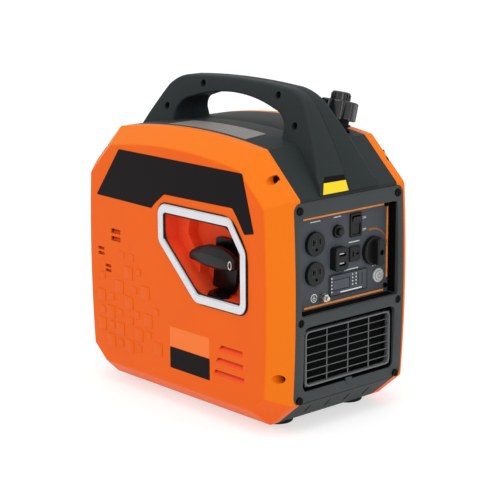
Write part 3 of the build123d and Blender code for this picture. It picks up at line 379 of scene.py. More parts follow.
def copy_of(node_name):
    """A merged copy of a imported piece, in edit mode, with its flat areas in even triangles."""
    start_edit()
    copy = nodes[node_name].copy()
    copy.data = nodes[node_name].data.copy()
    copy.parent = None
    copy.name = node_name + "_soft"
    bpy.context.collection.objects.link(copy)
    copy.select_set(True)
    bpy.context.view_layer.objects.active = copy
    copy.matrix_world = Matrix.Identity(4)
    bpy.ops.object.mode_set(mode="EDIT")
    bpy.ops.mesh.select_all(action="SELECT")
    bpy.ops.mesh.customdata_custom_splitnormals_clear()
    bpy.ops.mesh.remove_doubles(threshold=1e-6)
    bpy.ops.mesh.dissolve_limited(angle_limit=math.radians(0.6))
    bpy.ops.mesh.quads_convert_to_tris(quad_method="BEAUTY", ngon_method="BEAUTY")
    return copy


def round_edges(piece, wanted, width_mm, segments):
    """Bevel the sharp edges that wanted(edge) picks, and say how many there were."""
    bpy.ops.mesh.select_mode(type="EDGE")
    bpy.ops.mesh.select_all(action="DESELECT")
    mesh = bmesh.from_edit_mesh(piece.data)
    count = 0
    for edge in mesh.edges:
        if len(edge.link_faces) == 2 and wanted(edge):
            edge.select = True
            count += 1
    mesh.select_flush_mode()
    bmesh.update_edit_mesh(piece.data)
    if count:
        bpy.ops.mesh.bevel(offset=width_mm * MM, segments=segments, affect="EDGES", clamp_overlap=False)
    return count


def close_piece(piece, finish, body):
    """Drop faces that a bevel left without area, smooth the soft edges, dress it and let it ride."""
    bpy.ops.mesh.select_all(action="SELECT")
    bpy.ops.mesh.remove_doubles(threshold=2e-6)
    bpy.ops.mesh.dissolve_degenerate(threshold=5e-6)
    bpy.ops.object.mode_set(mode="OBJECT")
    bpy.ops.object.shade_smooth_by_angle(angle=math.radians(35))
    wear(piece, finish)
    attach(piece, body)


# %% [markdown]
# The two halves of the top cover carry the handle. In the mould its outer edges have a radius of
# about five millimetres, so that it sits well in the hand, the edges of its window a smaller one,
# and the joint between the halves a very small one. The edges to round all lie on the tapered
# outer face of the handle, so a point is compared with that face. The rims of the screw holes lie
# on it too, and are left out. Whether an edge is outer or inner shows in the way its narrow face
# looks: away from the middle of the window, or towards it.

# %% Handle halves
handle_top_z, handle_top_half = 491.0, 12.5
handle_low_z, handle_low_half = 325.0, 64.6
handle_screw_places = [(-71.0, 468.5), (96.0, 466.5), (-143.0, 428.0), (143.0, 428.0)]
screw_clear, face_near, joint_near = 8.5, 0.4, 0.3
window_middle_z, foot_z = 435.0, 352.0
outer_round, window_round, joint_round = 5.0, 3.4, 0.6
handle_sharp = math.radians(30)


def on_handle_face(point):
    """True where a point lies on the outer face of the handle, away from its screw holes."""
    x, y, z = point / MM
    share = (handle_top_z - z) / (handle_top_z - handle_low_z)
    half = handle_top_half + (handle_low_half - handle_top_half) * share
    clear = all(math.hypot(x - a, z - b) > screw_clear for a, b in handle_screw_places)
    return abs(abs(y) - half) < face_near and clear


def handle_edge(edge):
    sharp = edge.calc_face_angle_signed() > handle_sharp
    return sharp and all(on_handle_face(v.co) and v.co.z > foot_z * MM for v in edge.verts)


def looks_out(edge):
    narrow = min(edge.link_faces, key=lambda face: abs(face.normal.y))
    middle = (edge.verts[0].co + edge.verts[1].co) / 2
    return narrow.normal.x * middle.x + narrow.normal.z * (middle.z - window_middle_z * MM) > 0


def outer_edge(edge):
    return handle_edge(edge) and looks_out(edge)


def window_edge(edge):
    return handle_edge(edge) and not looks_out(edge)


def joint_edge(edge):
    sharp = edge.calc_face_angle() > handle_sharp
    return sharp and all(abs(v.co.y) < joint_near * MM for v in edge.verts)


for side in ("left", "right"):
    half = copy_of(side + "_top_cover")
    outer = round_edges(half, outer_edge, outer_round, 5)
    window = round_edges(half, window_edge, window_round, 4)
    joint = round_edges(half, joint_edge, joint_round, 2)
    close_piece(half, black_pp, "generator")
    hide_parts(side + "_top_cover")
    print(side, "half: outer edges", outer, "window edges", window, "joint edges", joint)

# %% [markdown]
# The bezel and the bright ring get their mould radii in the same way. On the bezel every outward
# edge gets about a millimetre, which draws the thin light lines along its openings. The ring is
# almost half round, so the edges of its front face get a wide bevel with several segments.

# %% Bezel and trim ring
shortest_edge, ring_front_y = 1.6, -145.4
bezel_round, ring_round = 0.9, 2.7
mould_sharp = math.radians(40)


def outward_edge(edge):
    return edge.calc_face_angle_signed() > mould_sharp and edge.calc_length() > shortest_edge * MM


def ring_front_edge(edge):
    sharp = edge.calc_face_angle_signed() > mould_sharp
    return sharp and all(v.co.y < ring_front_y * MM for v in edge.verts)


bezel = copy_of("front_bezel")
bezel_edges = round_edges(bezel, outward_edge, bezel_round, 2)
close_piece(bezel, bezel_pp, "generator")
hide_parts("front_bezel")
ring = copy_of("starter_trim")
ring_edges = round_edges(ring, ring_front_edge, ring_round, 5)
close_piece(ring, satin_chrome, "generator")
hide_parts("starter_trim")
print("bezel edges", bezel_edges, "and ring edges", ring_edges)

# %% [markdown]
# Labels, printed lines, relief and gaskets are all thin plates with an outline of their own. One
# helper makes them as one would by hand: a filled ring with as many points as the outline has,
# each point moved to its place, the corners rounded with a vertex bevel, and a Solidify modifier
# for the thickness. An outline is a list of points on the surface that carries the plate.

# %% Thin plates
def repeat(piece, moves):
    """Copy a piece along each move in millimetres, each with its own mesh, and join them to it."""
    start_edit()
    for move in moves:
        copy = piece.copy()
        copy.data = piece.data.copy()
        copy.data.transform(Matrix.Translation(Vector(move) * MM))
        bpy.context.collection.objects.link(copy)
        copy.select_set(True)
    piece.select_set(True)
    bpy.context.view_layer.objects.active = piece
    if moves:
        bpy.ops.object.join()


def hand_over(piece, finish, body):
    """Apply the object's own place, smooth it, dress it and let it ride on its body."""
    bpy.ops.object.transform_apply()
    bpy.ops.object.shade_smooth_by_angle(angle=math.radians(40))
    wear(piece, finish)
    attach(piece, body)
    return piece


def apply_modifier(piece, kind, **settings):
    """Add a modifier with its settings and apply it at once."""
    modifier = piece.modifiers.new(kind.lower(), kind)
    for key, value in settings.items():
        setattr(modifier, key, value)
    bpy.ops.object.modifier_apply(modifier=modifier.name)


def plate(name, outline, outward, thick_mm, finish, slot, corner_mm=0.0, edge_mm=0.0, body="generator",
          moves=(), frame_mm=0.0):
    """A thin plate on an outline in millimetres, thickened outwards, or a frame of that width."""
    start_edit()
    bpy.ops.mesh.primitive_circle_add(vertices=len(outline), fill_type="NGON")
    piece = bpy.context.object
    piece.name = name
    bpy.ops.object.mode_set(mode="EDIT")
    mesh = bmesh.from_edit_mesh(piece.data)
    for vertex, place in zip(mesh.verts, outline):
        vertex.co = Vector(place) * MM
    mesh.normal_update()
    if sum((f.normal * f.calc_area() for f in mesh.faces), Vector()).dot(Vector(outward)) < 0:
        bpy.ops.mesh.flip_normals()
    bmesh.update_edit_mesh(piece.data)
    if corner_mm:
        bpy.ops.mesh.select_all(action="SELECT")
        bpy.ops.mesh.bevel(offset=corner_mm * MM, segments=5, affect="VERTICES", clamp_overlap=True)
    if frame_mm:
        bpy.ops.mesh.select_mode(type="FACE")
        bpy.ops.mesh.select_all(action="SELECT")
        bpy.ops.mesh.inset(thickness=frame_mm * MM, depth=0)
        bpy.ops.mesh.delete(type="FACE")
    bpy.ops.object.mode_set(mode="OBJECT")
    apply_modifier(piece, "SOLIDIFY", thickness=thick_mm * MM, offset=1.0)
    if edge_mm:
        apply_modifier(piece, "BEVEL", width=edge_mm * MM, segments=2)
    repeat(piece, moves)
    return hand_over(piece, finish, body)


wall_half = 142.5


def on_side(points, side=-1):
    """Points (x, z) on the flat side wall, for side -1 at the starter and +1 opposite."""
    return [(x, side * wall_half, z) for x, z in points]


def bar(a0, z0, a1, z1):
    """The corners of an upright rectangle, from its low corner to its high one."""
    return [(a0, z0), (a1, z0), (a1, z1), (a0, z1)]


starter_side, far_side = Vector((0, -1, 0)), Vector((0, 1, 0))
label_thick, label_corner, rating_thick, rating_corner = 0.35, 2.0, 0.3, 1.5
label_outline = [(-124, 375), (154, 375), (178, 293), (158, 289), (143, 311), (133, 323),
                 (-17.5, 321), (-39, 305), (-48, 296), (-182, 298)]
plate("side_label_left", on_side(label_outline), starter_side, label_thick, black_vinyl,
      "black_plastic", label_corner)
far_outline = [(-124, 375), (154, 375), (178, 296), (-182, 298)]
plate("side_label_right", on_side(far_outline, 1), far_side, label_thick, black_vinyl,
      "black_plastic", label_corner)
plate("rating_label_low", on_side(bar(-9, 59, 81, 91.5)), starter_side, rating_thick, black_vinyl,
      "black_plastic", rating_corner)
plate("rating_label_high", on_side(bar(-9, 92.5, 81, 123)), starter_side, rating_thick, amber_vinyl,
      "orange_plastic", rating_corner)

# %% [markdown]
# A dark frame lies under the bright ring and shows as a thin line on both of its sides: painted shade, for
# the shadow in the gaps beside the ring. It is the same plate as before, turned into a frame: after the
# corners are rounded, an inset makes the inner outline, and the middle face is deleted.

# %% Painted shadow gap round the pocket trim
def grown(points, distance):
    """The outline of a convex shape, listed clockwise, with every side moved out by distance."""
    result = []
    for k, here in enumerate(points):
        a, b, c = Vector(points[k - 1]), Vector(here), Vector(points[(k + 1) % len(points)])
        along, onward = (b - a).normalized(), (c - b).normalized()
        out_a, out_b = Vector((-along.y, along.x)), Vector((-onward.y, onward.x))
        result.append(b + (out_a + out_b) * (distance / (1 + out_a.dot(out_b))))
    return result


trim_line = [(-24, 301), (128, 302), (157, 262), (157, 179), (55, 178), (-24, 253)]
trim_half, trim_corner = 7.0, 11.0
shadow_gap_out, shadow_gap_in, shadow_gap_thick = 1.5, 1.6, 0.7
shadow_gap_wide = 2 * trim_half + shadow_gap_out + shadow_gap_in
# Painted shade: a near-black frame for the shadow in the gaps round the ring.
shadow_gap_outline = on_side([tuple(p) for p in grown(trim_line, trim_half + shadow_gap_out)])
plate("trim_gasket", shadow_gap_outline, starter_side, shadow_gap_thick, shadow_gap_line, "rubber",
      trim_corner + trim_half, frame_mm=shadow_gap_wide)
print("shadow gap frame width in mm:", shadow_gap_wide)

# %% [markdown]
# The lower rear of the side walls carries a loose relief of raised squares in two sizes. In the
# mould they are shallow pockets, so each is under a millimetre high with a softened rim. One square
# of each size is made and copied to the other places. On the far side only the squares that stay
# clear of the louvres and the service door are made.

# %% Tile relief
large_tiles = [(-163, 60), (-117, 60), (-186, 83), (-140, 83), (-94, 83), (-48, 70), (-163, 106),
               (-71, 110), (-186, 129), (-117, 129), (-140, 150), (-76, 152), (-117, 176)]
small_tiles = [(-134, 66), (-88, 66), (-154, 91), (-108, 106), (-64, 92), (-177, 111), (-134, 114),
               (-92, 118), (-155, 136), (-98, 156), (-177, 166), (-88, 186), (-46, 132), (-128, 206),
               (-104, 206)]
tile_high, tile_corner, tile_edge = 0.9, 1.2, 0.4


def relief(name, places, size, side, outward):
    """Squares of one size on a side wall: the first is a plate, the others are its copies."""
    x, z = places[0]
    outline = on_side(bar(x, z, x + size, z + size), side)
    plate(name, outline, outward, tile_high, orange_abs, "orange_plastic", tile_corner, tile_edge,
          moves=[(a - x, 0, b - z) for a, b in places[1:]])


# On the far side squares stay above this height, clear of the louvres, and behind this x, clear of the door.
far_low, far_front = 125, -72
for label, places, size in (("large", large_tiles, 20.0), ("small", small_tiles, 11.0)):
    relief(f"tile_relief_{label}_left", places, size, -1, starter_side)
    clear = [(x, z) for x, z in places if z > far_low and x + size < far_front]
    relief(f"tile_relief_{label}_right", clear, size, 1, far_side)
    print(label, "tiles:", len(places), "on the starter side and", len(clear), "opposite")

# %% [markdown]
# Each louvre and vent slit has a slanted blade that rises inwards from its lower edge, so that air
# passes but nothing looks straight in. A blade starts as a cube of the blade's size, turned about
# its length, with its long edges rounded. Each row is the first blade copied up the wall.

# %% Blades in the vents
blade_edge = 0.4


def blade(name, middle, size, lean, moves):
    """A slanted slat: size in millimetres along X, across and thick, leaning about X."""
    start_edit()
    bpy.ops.mesh.primitive_cube_add(size=MM, location=Vector(middle) * MM, scale=size,
                                    rotation=(math.radians(lean), 0, 0))
    piece = bpy.context.object
    piece.name = name
    bpy.ops.object.transform_apply()
    apply_modifier(piece, "BEVEL", width=blade_edge * MM, segments=2)
    repeat(piece, moves)
    hand_over(piece, pocket_abs, "generator")


louvre_size, louvre_lean = (78, 14, 1.4), 43
louvre_pitch = [(0, 0, 19.5), (0, 0, 39)]
blade("louvre_blades_left", (125, -136.8, 75.9), louvre_size, louvre_lean, louvre_pitch)
blade("louvre_blades_right", (-127, 136.8, 75.9), louvre_size, -louvre_lean, louvre_pitch)
# Each vent: x and z of its middle, and its size. As shares of that size, its lower slit starts vent_low
# below the middle and is vent_rise high.
vents = [(-137, 240, 24), (-174.5, 210, 16), (-157.5, 185, 15)]
vent_low, vent_rise, vent_front = 0.405, 0.31, -138.6
vent_ends, vent_across, vent_thick, vent_lean = 2, 1.4, 1.0, 45
for k, (x, z, size) in enumerate(vents):
    rise = vent_rise * size
    blade(f"vent_blades_{k}", (x, vent_front + rise / 2, z - vent_low * size + rise / 2),
          (size + vent_ends, vent_across * rise, vent_thick), vent_lean, [(0, 0, size / 2)])

# %% [markdown]
# The inlet grille is a light insert in a dark recess: a rim with round corners and thin blades, four bays
# wide and seven high, over a screen that keeps grit out; its near-black is painted shade. The rim is a
# framed plate.
# The blades start as a grid of four by seven cells; a Wireframe modifier turns its lines into bars, which
# are then stretched towards the back, because a blade is deeper than it is wide. Near-black linings on the
# walls of this recess and of the one that holds the control plate are painted shade, and the same near-black
# sheet lies behind the slots of the rear cover.

# %% Inlet grille and its screen
def on_front(points, x):
    """Points (y, z) on a plane that faces the front."""
    return [(x, y, z) for y, z in points]


forward = Vector((1, 0, 0))
screen_thick, screen_corner = 1.0, 6.0
# Painted shade: the screen is near-black for the dark inside behind the grille.
plate("inlet_screen", on_front(bar(-89, 66, 89, 155), 209.0), forward, screen_thick, painted_shade_black,
      "rubber", screen_corner)
grille_left, grille_right, grille_low, grille_high = -84.5, 88.5, 68.5, 150.0
grille_back, grille_front = 213.2, 221.4
rim_corner, rim_edge, rim_wide = 8.0, 0.5, 2.2
rim_outline = on_front(bar(grille_left, grille_low, grille_right, grille_high), grille_back)
rim = plate("inlet_grille_rim", rim_outline, forward, grille_front - grille_back, grille_pp,
            "black_plastic", rim_corner, rim_edge, frame_mm=rim_wide)
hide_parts("inlet_grille")

# The blades stand a little behind the rim's face, and their ends lie inside the rim.
blade_wide, blade_deep, blade_back, blade_short = 1.4, 2.6, 0.6, 2
middle = Vector((grille_front - blade_back - blade_deep / 2, (grille_left + grille_right) / 2,
                 (grille_low + grille_high) / 2)) * MM
start_edit()
bpy.ops.mesh.primitive_grid_add(x_subdivisions=7, y_subdivisions=4, size=MM, location=middle,
                                rotation=(0, math.radians(90), 0))
blades = bpy.context.object
blades.name = "inlet_grille_blades"
blades.scale = (grille_high - grille_low - blade_short, grille_right - grille_left - blade_short, 1)
bpy.ops.object.transform_apply()
apply_modifier(blades, "WIREFRAME", thickness=blade_wide * MM, use_boundary=True, use_replace=True)
bpy.ops.object.mode_set(mode="EDIT")
bpy.ops.mesh.select_all(action="SELECT")
bpy.ops.transform.resize(value=(blade_deep / blade_wide, 1, 1), center_override=middle)
bpy.ops.object.mode_set(mode="OBJECT")
hand_over(blades, grille_pp, "generator")
latch_outline = [(-5, 59), (5, 59), (6.5, 67), (-6.5, 67)]
latch_back, latch_thick, latch_corner, latch_edge = 221.6, 3.0, 1.2, 0.7
plate("grille_latch", on_front(latch_outline, latch_back), forward, latch_thick, bezel_pp,
      "black_plastic", latch_corner, latch_edge)
# Each lining of painted shade: its name and outline, the x it starts at, how far it reaches out, its corner
# and its width.
painted_shade_linings = [("grille_bed", bar(-91.6, 63.4, 91.6, 157.6), 213.05, 0.25, 8.6, 6.0),
           ("grille_seal", bar(-91.9, 63.1, 91.9, 157.9), 213.1, 8.6, 8.9, 0.5),
           ("panel_seal", bar(-97.4, 174.6, 97.4, 313.9), 207.0, 14.4, 0.0, 0.7)]
for name, outline, start_x, reach, corner, wide in painted_shade_linings:
    plate(name, on_front(outline, start_x), forward, reach, painted_shade_black, "rubber", corner, frame_mm=wide)
# Painted shade: a near-black sheet behind the slots of the rear cover.
plate("outlet_screen", on_front(bar(-88, 66, 88, 168), -213.0), -forward, screen_thick, painted_shade_black,
      "rubber", screen_corner)
print("grille blades:", len(blades.data.polygons), "faces")

# %% [markdown]
# The control plate is screen printed: an orange line along three of its sides, a tapering scale
# round the engine dial and the earth sign beside its terminal. Ink has almost no height, so the
# plates are a tenth of a millimetre thick. Arcs are outlines with many points.

# %% Print on the control plate
plate_face, ink_thick = 207.0, 0.12


def ink(name, points, finish=orange_ink, x=plate_face, body="generator", **more):
    """A printed shape from points (y, z) on a plane that faces the front."""
    plate(name, on_front(points, x), forward, ink_thick, finish, "control_grey", body=body, **more)


def arc(middle, radius_from, radius_to, start, end, count=24):
    """Points on an arc in degrees whose radius runs from one value to another."""
    points = []
    for k in range(count + 1):
        share = k / count
        angle = math.radians(start + (end - start) * share)
        radius = radius_from + (radius_to - radius_from) * share
        points.append((middle[0] + radius * math.cos(angle), middle[1] + radius * math.sin(angle)))
    return points


dial_middle, earth_middle, button_middle = (63.5, 242.5), (-54.6, 191.3), (75.0, 203.5)
ink("line_top", bar(-76, 306.6, 92, 309.2))
ink("line_bottom", bar(-74, 177.6, 88, 180.4))
ink("line_right", bar(93.2, 197, 96.4, 304))
ink("dial_scale", arc(dial_middle, 34, 32, 104, 2) + arc(dial_middle, 31.6, 30.6, 2, 104), faded_ink)
ink("earth_ring", arc(earth_middle, 6.3, 6.3, 0, 350) + arc(earth_middle, 5.2, 5.2, 350, 0), white_ink)
ink("earth_bars", bar(-57.8, 190.2, -51.4, 191.2), white_ink)
ink("earth_stem", bar(-55.1, 191.2, -54.1, 195.6), white_ink)
ink("earth_foot", bar(-56.6, 188.2, -52.6, 189.0), white_ink)
printed = [o for o in bpy.data.objects if o.name.startswith(("line_", "dial_s", "earth_"))]
print("printed pieces:", len(printed))

# %% [markdown]
# Above each fitting runs a short row of white marks, and the switch has its two plain words. A
# mark is printed once and repeated along the row. The words are text objects: they are made a
# mesh before they are turned to the front, so that their place ends up in the mesh.

# %% Marks and words on the control plate
# Each row: y and z of its first mark, and how many copies follow.
mark_rows = [(-62, 301.3, 8), (-16, 302.0, 6), (14, 306.2, 0), (15, 260.6, 9), (6, 221.0, 12),
             (64, 218.6, 6)]
mark_wide, mark_high, mark_step = 1.5, 1.6, 2.2
for k, (y, z, count) in enumerate(mark_rows):
    ink(f"mark_row_{k}", bar(y, z, y + mark_wide, z + mark_high), white_ink,
        moves=[(0, mark_step * step, 0) for step in range(1, count + 1)])
word_high, word_half_thick = 4.6, 0.06
for word, y, z in (("ON", 42.5, 292.6), ("OFF", 42.5, 275.0)):
    start_edit()
    bpy.ops.object.text_add()
    text = bpy.context.object
    text.name = "word_" + word.lower()
    text.data.body = word
    text.data.size = word_high * MM
    text.data.extrude = word_half_thick * MM
    bpy.ops.object.convert(target="MESH")
    text = bpy.context.object
    text.location = Vector((plate_face + word_half_thick, y, z)) * MM
    text.rotation_euler = (math.radians(90), 0, math.radians(90))
    hand_over(text, white_ink, "generator")
print("mark rows:", len(mark_rows))

# %% [markdown]
# Inside each USB port lies a tongue that carries the contacts, and each mains slot has a raised
# collar. Both are small, but they are what the eye looks for on a socket. A collar is a framed
# plate on the face of the outlet.

# %% Socket details
tongue_left, tongue_right, tongue_below, tongue_above = -15.2, -4.8, 0.2, 1.6
tongue_back, tongue_long, tongue_edge = 208.0, 9.5, 0.3
for name, z in (("lower", 236.0), ("upper", 250.0)):
    outline = on_front(bar(tongue_left, z - tongue_below, tongue_right, z + tongue_above), tongue_back)
    plate("usb_tongue_" + name, outline, forward, tongue_long, white_ink, "white_plastic",
          edge_mm=tongue_edge)
outlet_face = plate_face + 6.0
collar_below, collar_above = 3.2, 9.2
collar_high, collar_corner, collar_edge, collar_wide = 0.5, 1.4, 0.2, 0.9
for name, z in (("upper", 271.0), ("lower", 227.5)):
    for part, y0, y1 in (("left", -64.6, -56.2), ("right", -51.8, -46.0)):
        outline = on_front(bar(y0, z - collar_below, y1, z + collar_above), outlet_face)
        plate(f"outlet_{name}_{part}_collar", outline, forward, collar_high, bezel_pp, "dark_plastic",
              collar_corner, collar_edge, frame_mm=collar_wide)

# %% [markdown]
# The display shows a column of lamps on the left of its window, two on the right and a level bar
# below it. The lamps are small flat discs, made once and copied. The push button carries the usual
# power sign, an open ring with a stroke, which rides with the button.

# %% Display marks and power sign
display_face = plate_face + 2.5
dot_radius, dot_step, column_step = 1.1, 5.0, 7
ink("display_lamps_left", arc((-21.4, 194.5), dot_radius, dot_radius, 0, 330, 11), white_ink, display_face,
    moves=[(0, 0, dot_step * k) for k in range(1, 5)])
ink("display_lamps_right", arc((21.0, 199.5), dot_radius, dot_radius, 0, 330, 11), white_ink, display_face,
    moves=[(0, 0, dot_step * k) for k in range(1, 4)] + [(0, column_step, dot_step * k) for k in range(4)])
ink("display_level", bar(-4, 191.2, 40, 193.0), white_ink, display_face)
ink("display_border", bar(-25, 188.5, 51, 219), black_vinyl, display_face, frame_mm=1.0)
ink("display_inner", bar(-19.6, 196, 15.6, 211.5), black_vinyl, display_face, frame_mm=0.8)
ink("display_column", bar(32, 197, 33, 214), black_vinyl, display_face, moves=[(0, 8, 0)])
sign_face = plate_face + 4.5
ink("power_ring", arc(button_middle, 4.0, 4.0, 125, 415) + arc(button_middle, 3.1, 3.1, 415, 125),
    grey_vinyl, sign_face, "start_button")
ink("power_stroke", bar(74.5, 204.5, 75.5, 208.6), grey_vinyl, sign_face, "start_button")

# %% [markdown]
# Three films lie on curved parts of the top cover: a plain yellow one on the foot of the handle, a
# black band along its upper edge, and a grey one under the handle. A film starts as a grid in front
# of the surface, and a Shrinkwrap modifier projects it onto the cover, so it follows the curve.
# Solidify gives it its thickness.

# %% Films on the top cover
film_thick = 0.2


def film(name, corners, toward, target, finish, lift_mm=0.1):
    """A film between four corners in millimetres, pressed onto the target along X or Z."""
    start_edit()
    bpy.ops.mesh.primitive_grid_add(x_subdivisions=24, y_subdivisions=12, size=2)
    piece = bpy.context.object
    piece.name = name
    bpy.ops.object.mode_set(mode="EDIT")
    mesh = bmesh.from_edit_mesh(piece.data)
    a, b, c, d = (Vector(corner) * MM for corner in corners)
    for vertex in mesh.verts:
        u, v = (vertex.co.x + 1) / 2, (vertex.co.y + 1) / 2
        vertex.co = (a * (1 - u) + b * u) * (1 - v) + (d * (1 - u) + c * u) * v
    bmesh.update_edit_mesh(piece.data)
    bpy.ops.object.mode_set(mode="OBJECT")
    apply_modifier(piece, "SHRINKWRAP", target=target, wrap_method="PROJECT", use_negative_direction=True,
                   use_positive_direction=True, offset=lift_mm * MM, use_project_x=toward == "X",
                   use_project_z=toward == "Z")
    apply_modifier(piece, "SOLIDIFY", thickness=film_thick * MM, offset=0.0)
    hand_over(piece, finish, "generator")


left_half = bpy.data.objects["left_top_cover_soft"]
film("foot_film", [(235, -54, 343), (235, -4, 343), (235, -3, 364), (235, -42, 365)], "X", left_half,
     yellow_vinyl)
film("foot_film_band", [(235, -46.4, 357.5), (235, -3.2, 357), (235, -2.9, 364.2), (235, -42, 365.2)],
     "X", left_half, black_vinyl, 0.35)
film("top_film", [(-72, -90, 430), (102, -90, 430), (92, -40, 430), (-72, -40, 430)], "Z", left_half,
     pale_vinyl)

# %% [markdown]
# The starter grip is a T with a faceted bar, like a wing that is fullest in the middle. It starts
# as an eight sided ring at the left tip. The ring is extruded from section to section along the
# bar, moved and scaled to the next section each time, and a small bevel softens the facets.

# %% Starter grip
grip_ring = [(-1.0, 0.3), (-0.82, -0.72), (-0.35, -1.0), (0.6, -1.0), (1.0, -0.35), (1.0, 0.5),
             (0.45, 1.0), (-0.3, 1.0)]
# Each section: x, y, z of its middle, half depth and half height.
grip_sections = [(25, -126, 236.0, 6.0, 6.0), (27, -126, 236.2, 7.2, 7.4),
                 (44, -126, 239.5, 10.0, 12.3), (62, -126, 241.0, 11.4, 16.0),
                 (82, -126, 241.0, 11.6, 16.6), (100, -126, 240.0, 11.2, 15.2),
                 (114, -126, 238.0, 10.0, 11.6), (122, -126, 236.0, 8.0, 7.4),
                 (124, -126, 235.8, 6.4, 5.6)]
facet_edge, facet_sharp = 0.8, math.radians(14)
start_edit()
bpy.ops.mesh.primitive_circle_add(vertices=len(grip_ring), fill_type="NGON")
grip = bpy.context.object
grip.name = "starter_grip_wing"
bpy.ops.object.mode_set(mode="EDIT")
x, y, z, deep, high = grip_sections[0]
mesh = bmesh.from_edit_mesh(grip.data)
for vertex, (across, up) in zip(mesh.verts, grip_ring):
    vertex.co = Vector((x, y + across * deep, z + up * high)) * MM
bmesh.update_edit_mesh(grip.data)
bpy.ops.mesh.select_all(action="SELECT")
for before, after in zip(grip_sections, grip_sections[1:]):
    step = (Vector(after[:3]) - Vector(before[:3])) * MM
    bpy.ops.mesh.extrude_region_move(TRANSFORM_OT_translate={"value": step})
    bpy.ops.transform.resize(value=(1, after[3] / before[3], after[4] / before[4]),
                             center_override=Vector(after[:3]) * MM)
bpy.ops.mesh.select_all(action="SELECT")
bpy.ops.mesh.normals_make_consistent(inside=False)
bpy.ops.object.mode_set(mode="OBJECT")
apply_modifier(grip, "BEVEL", width=facet_edge * MM, segments=2, limit_method="ANGLE",
               angle_limit=facet_sharp)
hand_over(grip, fitting_nylon, "starter_grip")
print("grip faces:", len(grip.data.polygons))

# %% [markdown]
# Below the rope guide an arm runs down to the floor of the pocket and ends in a flat foot that
# reaches towards the mouth. Both are thick plates on their own outlines with softened rims.

# %% Arm of the rope guide
arm_outline = [(57, 216), (103, 216), (97, 192), (87, 180.5), (57, 180.5), (62, 190)]
arm_back_y, arm_thick, arm_corner, arm_edge = -100.2, 7.4, 2.0, 0.7
plate("guide_arm", [(x, arm_back_y, z) for x, z in arm_outline], starter_side, arm_thick, guide_acetal,
      "dark_plastic", arm_corner, arm_edge)
foot_outline = [(55, -104), (88, -104), (106, -126), (98, -136), (70, -136), (58, -122)]
foot_low_z, foot_thick, foot_corner, foot_edge = 183.3, 3.4, 1.5, 0.8
plate("guide_foot", [(x, y, foot_low_z) for x, y in foot_outline], Vector((0, 0, 1)), foot_thick,
      guide_acetal, "dark_plastic", foot_corner, foot_edge)
print("arm corners:", len(arm_outline), "and foot corners:", len(foot_outline))

# %% [markdown]
# The stem under the bar is turned: a rod with a collar where it rests on the rope guide. A
# cylinder is the start, and insets and extrusions of its end face make the collar and its mouth.

# %% Grip stem
stem_from, stem_to, stem_radius, stem_edge = -124.0, -109.2, 8.6, 0.5
pull_x, pull_z = 74.0, 230.0
collar_inset, collar_rise, mouth_inset, mouth_deep = 1.4, 0.4, 4.6, 3.0
start_edit()
bpy.ops.mesh.primitive_cylinder_add(vertices=40, radius=stem_radius * MM, depth=(stem_to - stem_from) * MM,
                                    location=Vector((pull_x, (stem_from + stem_to) / 2, pull_z)) * MM,
                                    rotation=(math.radians(90), 0, 0))
stem = bpy.context.object
stem.name = "starter_grip_stem"
bpy.ops.object.transform_apply()
bpy.ops.object.mode_set(mode="EDIT")
bpy.ops.mesh.select_mode(type="FACE")
bpy.ops.mesh.select_all(action="DESELECT")
mesh = bmesh.from_edit_mesh(stem.data)
for face in mesh.faces:
    face.select = face.normal.y > 0.9
bmesh.update_edit_mesh(stem.data)
bpy.ops.mesh.inset(thickness=collar_inset * MM)
bpy.ops.mesh.extrude_region_move(TRANSFORM_OT_translate={"value": (0, collar_rise * MM, 0)})
bpy.ops.mesh.inset(thickness=mouth_inset * MM)
bpy.ops.mesh.extrude_region_move(TRANSFORM_OT_translate={"value": (0, -mouth_deep * MM, 0)})
bpy.ops.object.mode_set(mode="OBJECT")
apply_modifier(stem, "BEVEL", width=stem_edge * MM, segments=2, limit_method="ANGLE",
               angle_limit=mould_sharp)
hand_over(stem, fitting_nylon, "starter_grip")
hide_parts("starter_grip")
print("stem faces:", len(stem.data.polygons))

# %% [markdown]
# A small bright loop of wire ends the bar, for hanging the grip. It starts as a torus, which is
# pulled long and pressed flat in edit mode so that it lies against the nose of the bar.

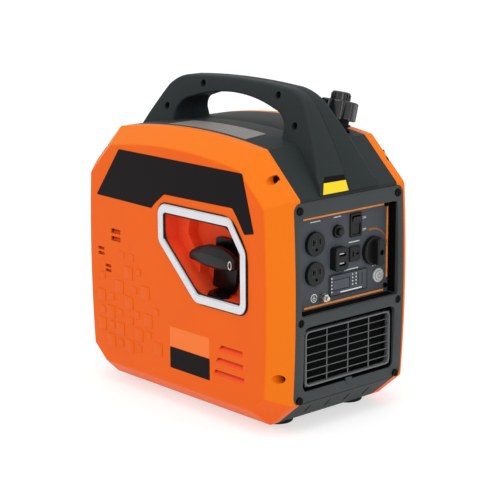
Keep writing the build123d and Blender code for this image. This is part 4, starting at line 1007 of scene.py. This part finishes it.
# %% Loop on the nose of the grip
nose = Vector((118.5, -135.2, 236.4)) * MM
loop_radius, wire_radius, loop_stretch = 4.2, 0.9, (0.8, 0.9, 1.35)
start_edit()
bpy.ops.mesh.primitive_torus_add(location=nose, rotation=(math.radians(90), math.radians(20), 0),
                                 major_radius=loop_radius * MM, minor_radius=wire_radius * MM,
                                 major_segments=32, minor_segments=10)
loop = bpy.context.object
loop.name = "starter_grip_loop"
bpy.ops.object.transform_apply()
bpy.ops.object.mode_set(mode="EDIT")
bpy.ops.mesh.select_all(action="SELECT")
bpy.ops.transform.resize(value=loop_stretch, center_override=nose)
bpy.ops.object.mode_set(mode="OBJECT")
hand_over(loop, nickel, "starter_grip")
print("loop height in mm:", round(loop.dimensions.z / MM, 1))

# %% [markdown]
# The rope runs from the pulley through the guide into the grip. When the grip is pulled, the rope comes out
# of the guide: its inner end stays with the machine and its outer end goes with the grip. The piece gets
# many rings, which come from cutting the long edges of a cylinder.

# %% Starter rope
rope_from, rope_to, rope_radius, rope_cuts = -120.0, -1.0, 2.0, 118
start_edit()
bpy.ops.mesh.primitive_cylinder_add(vertices=20, radius=rope_radius * MM, depth=(rope_to - rope_from) * MM,
                                    location=Vector((pull_x, (rope_from + rope_to) / 2, pull_z)) * MM,
                                    rotation=(math.radians(90), 0, 0))
rope = bpy.context.object
rope.name = "starter_rope_braid"
bpy.ops.object.transform_apply()
bpy.ops.object.mode_set(mode="EDIT")
bpy.ops.mesh.select_mode(type="EDGE")
bpy.ops.mesh.select_all(action="DESELECT")
mesh = bmesh.from_edit_mesh(rope.data)
for edge in mesh.edges:
    edge.select = edge.calc_length() > (rope_to - rope_from) / 2 * MM
bmesh.update_edit_mesh(rope.data)
bpy.ops.mesh.subdivide(number_cuts=rope_cuts)
bpy.ops.object.mode_set(mode="OBJECT")
bpy.ops.object.shade_smooth_by_angle(angle=math.radians(40))
wear(rope, braid)
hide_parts("starter_rope")
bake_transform(rope)
print("rope rings:", rope_cuts + 2)
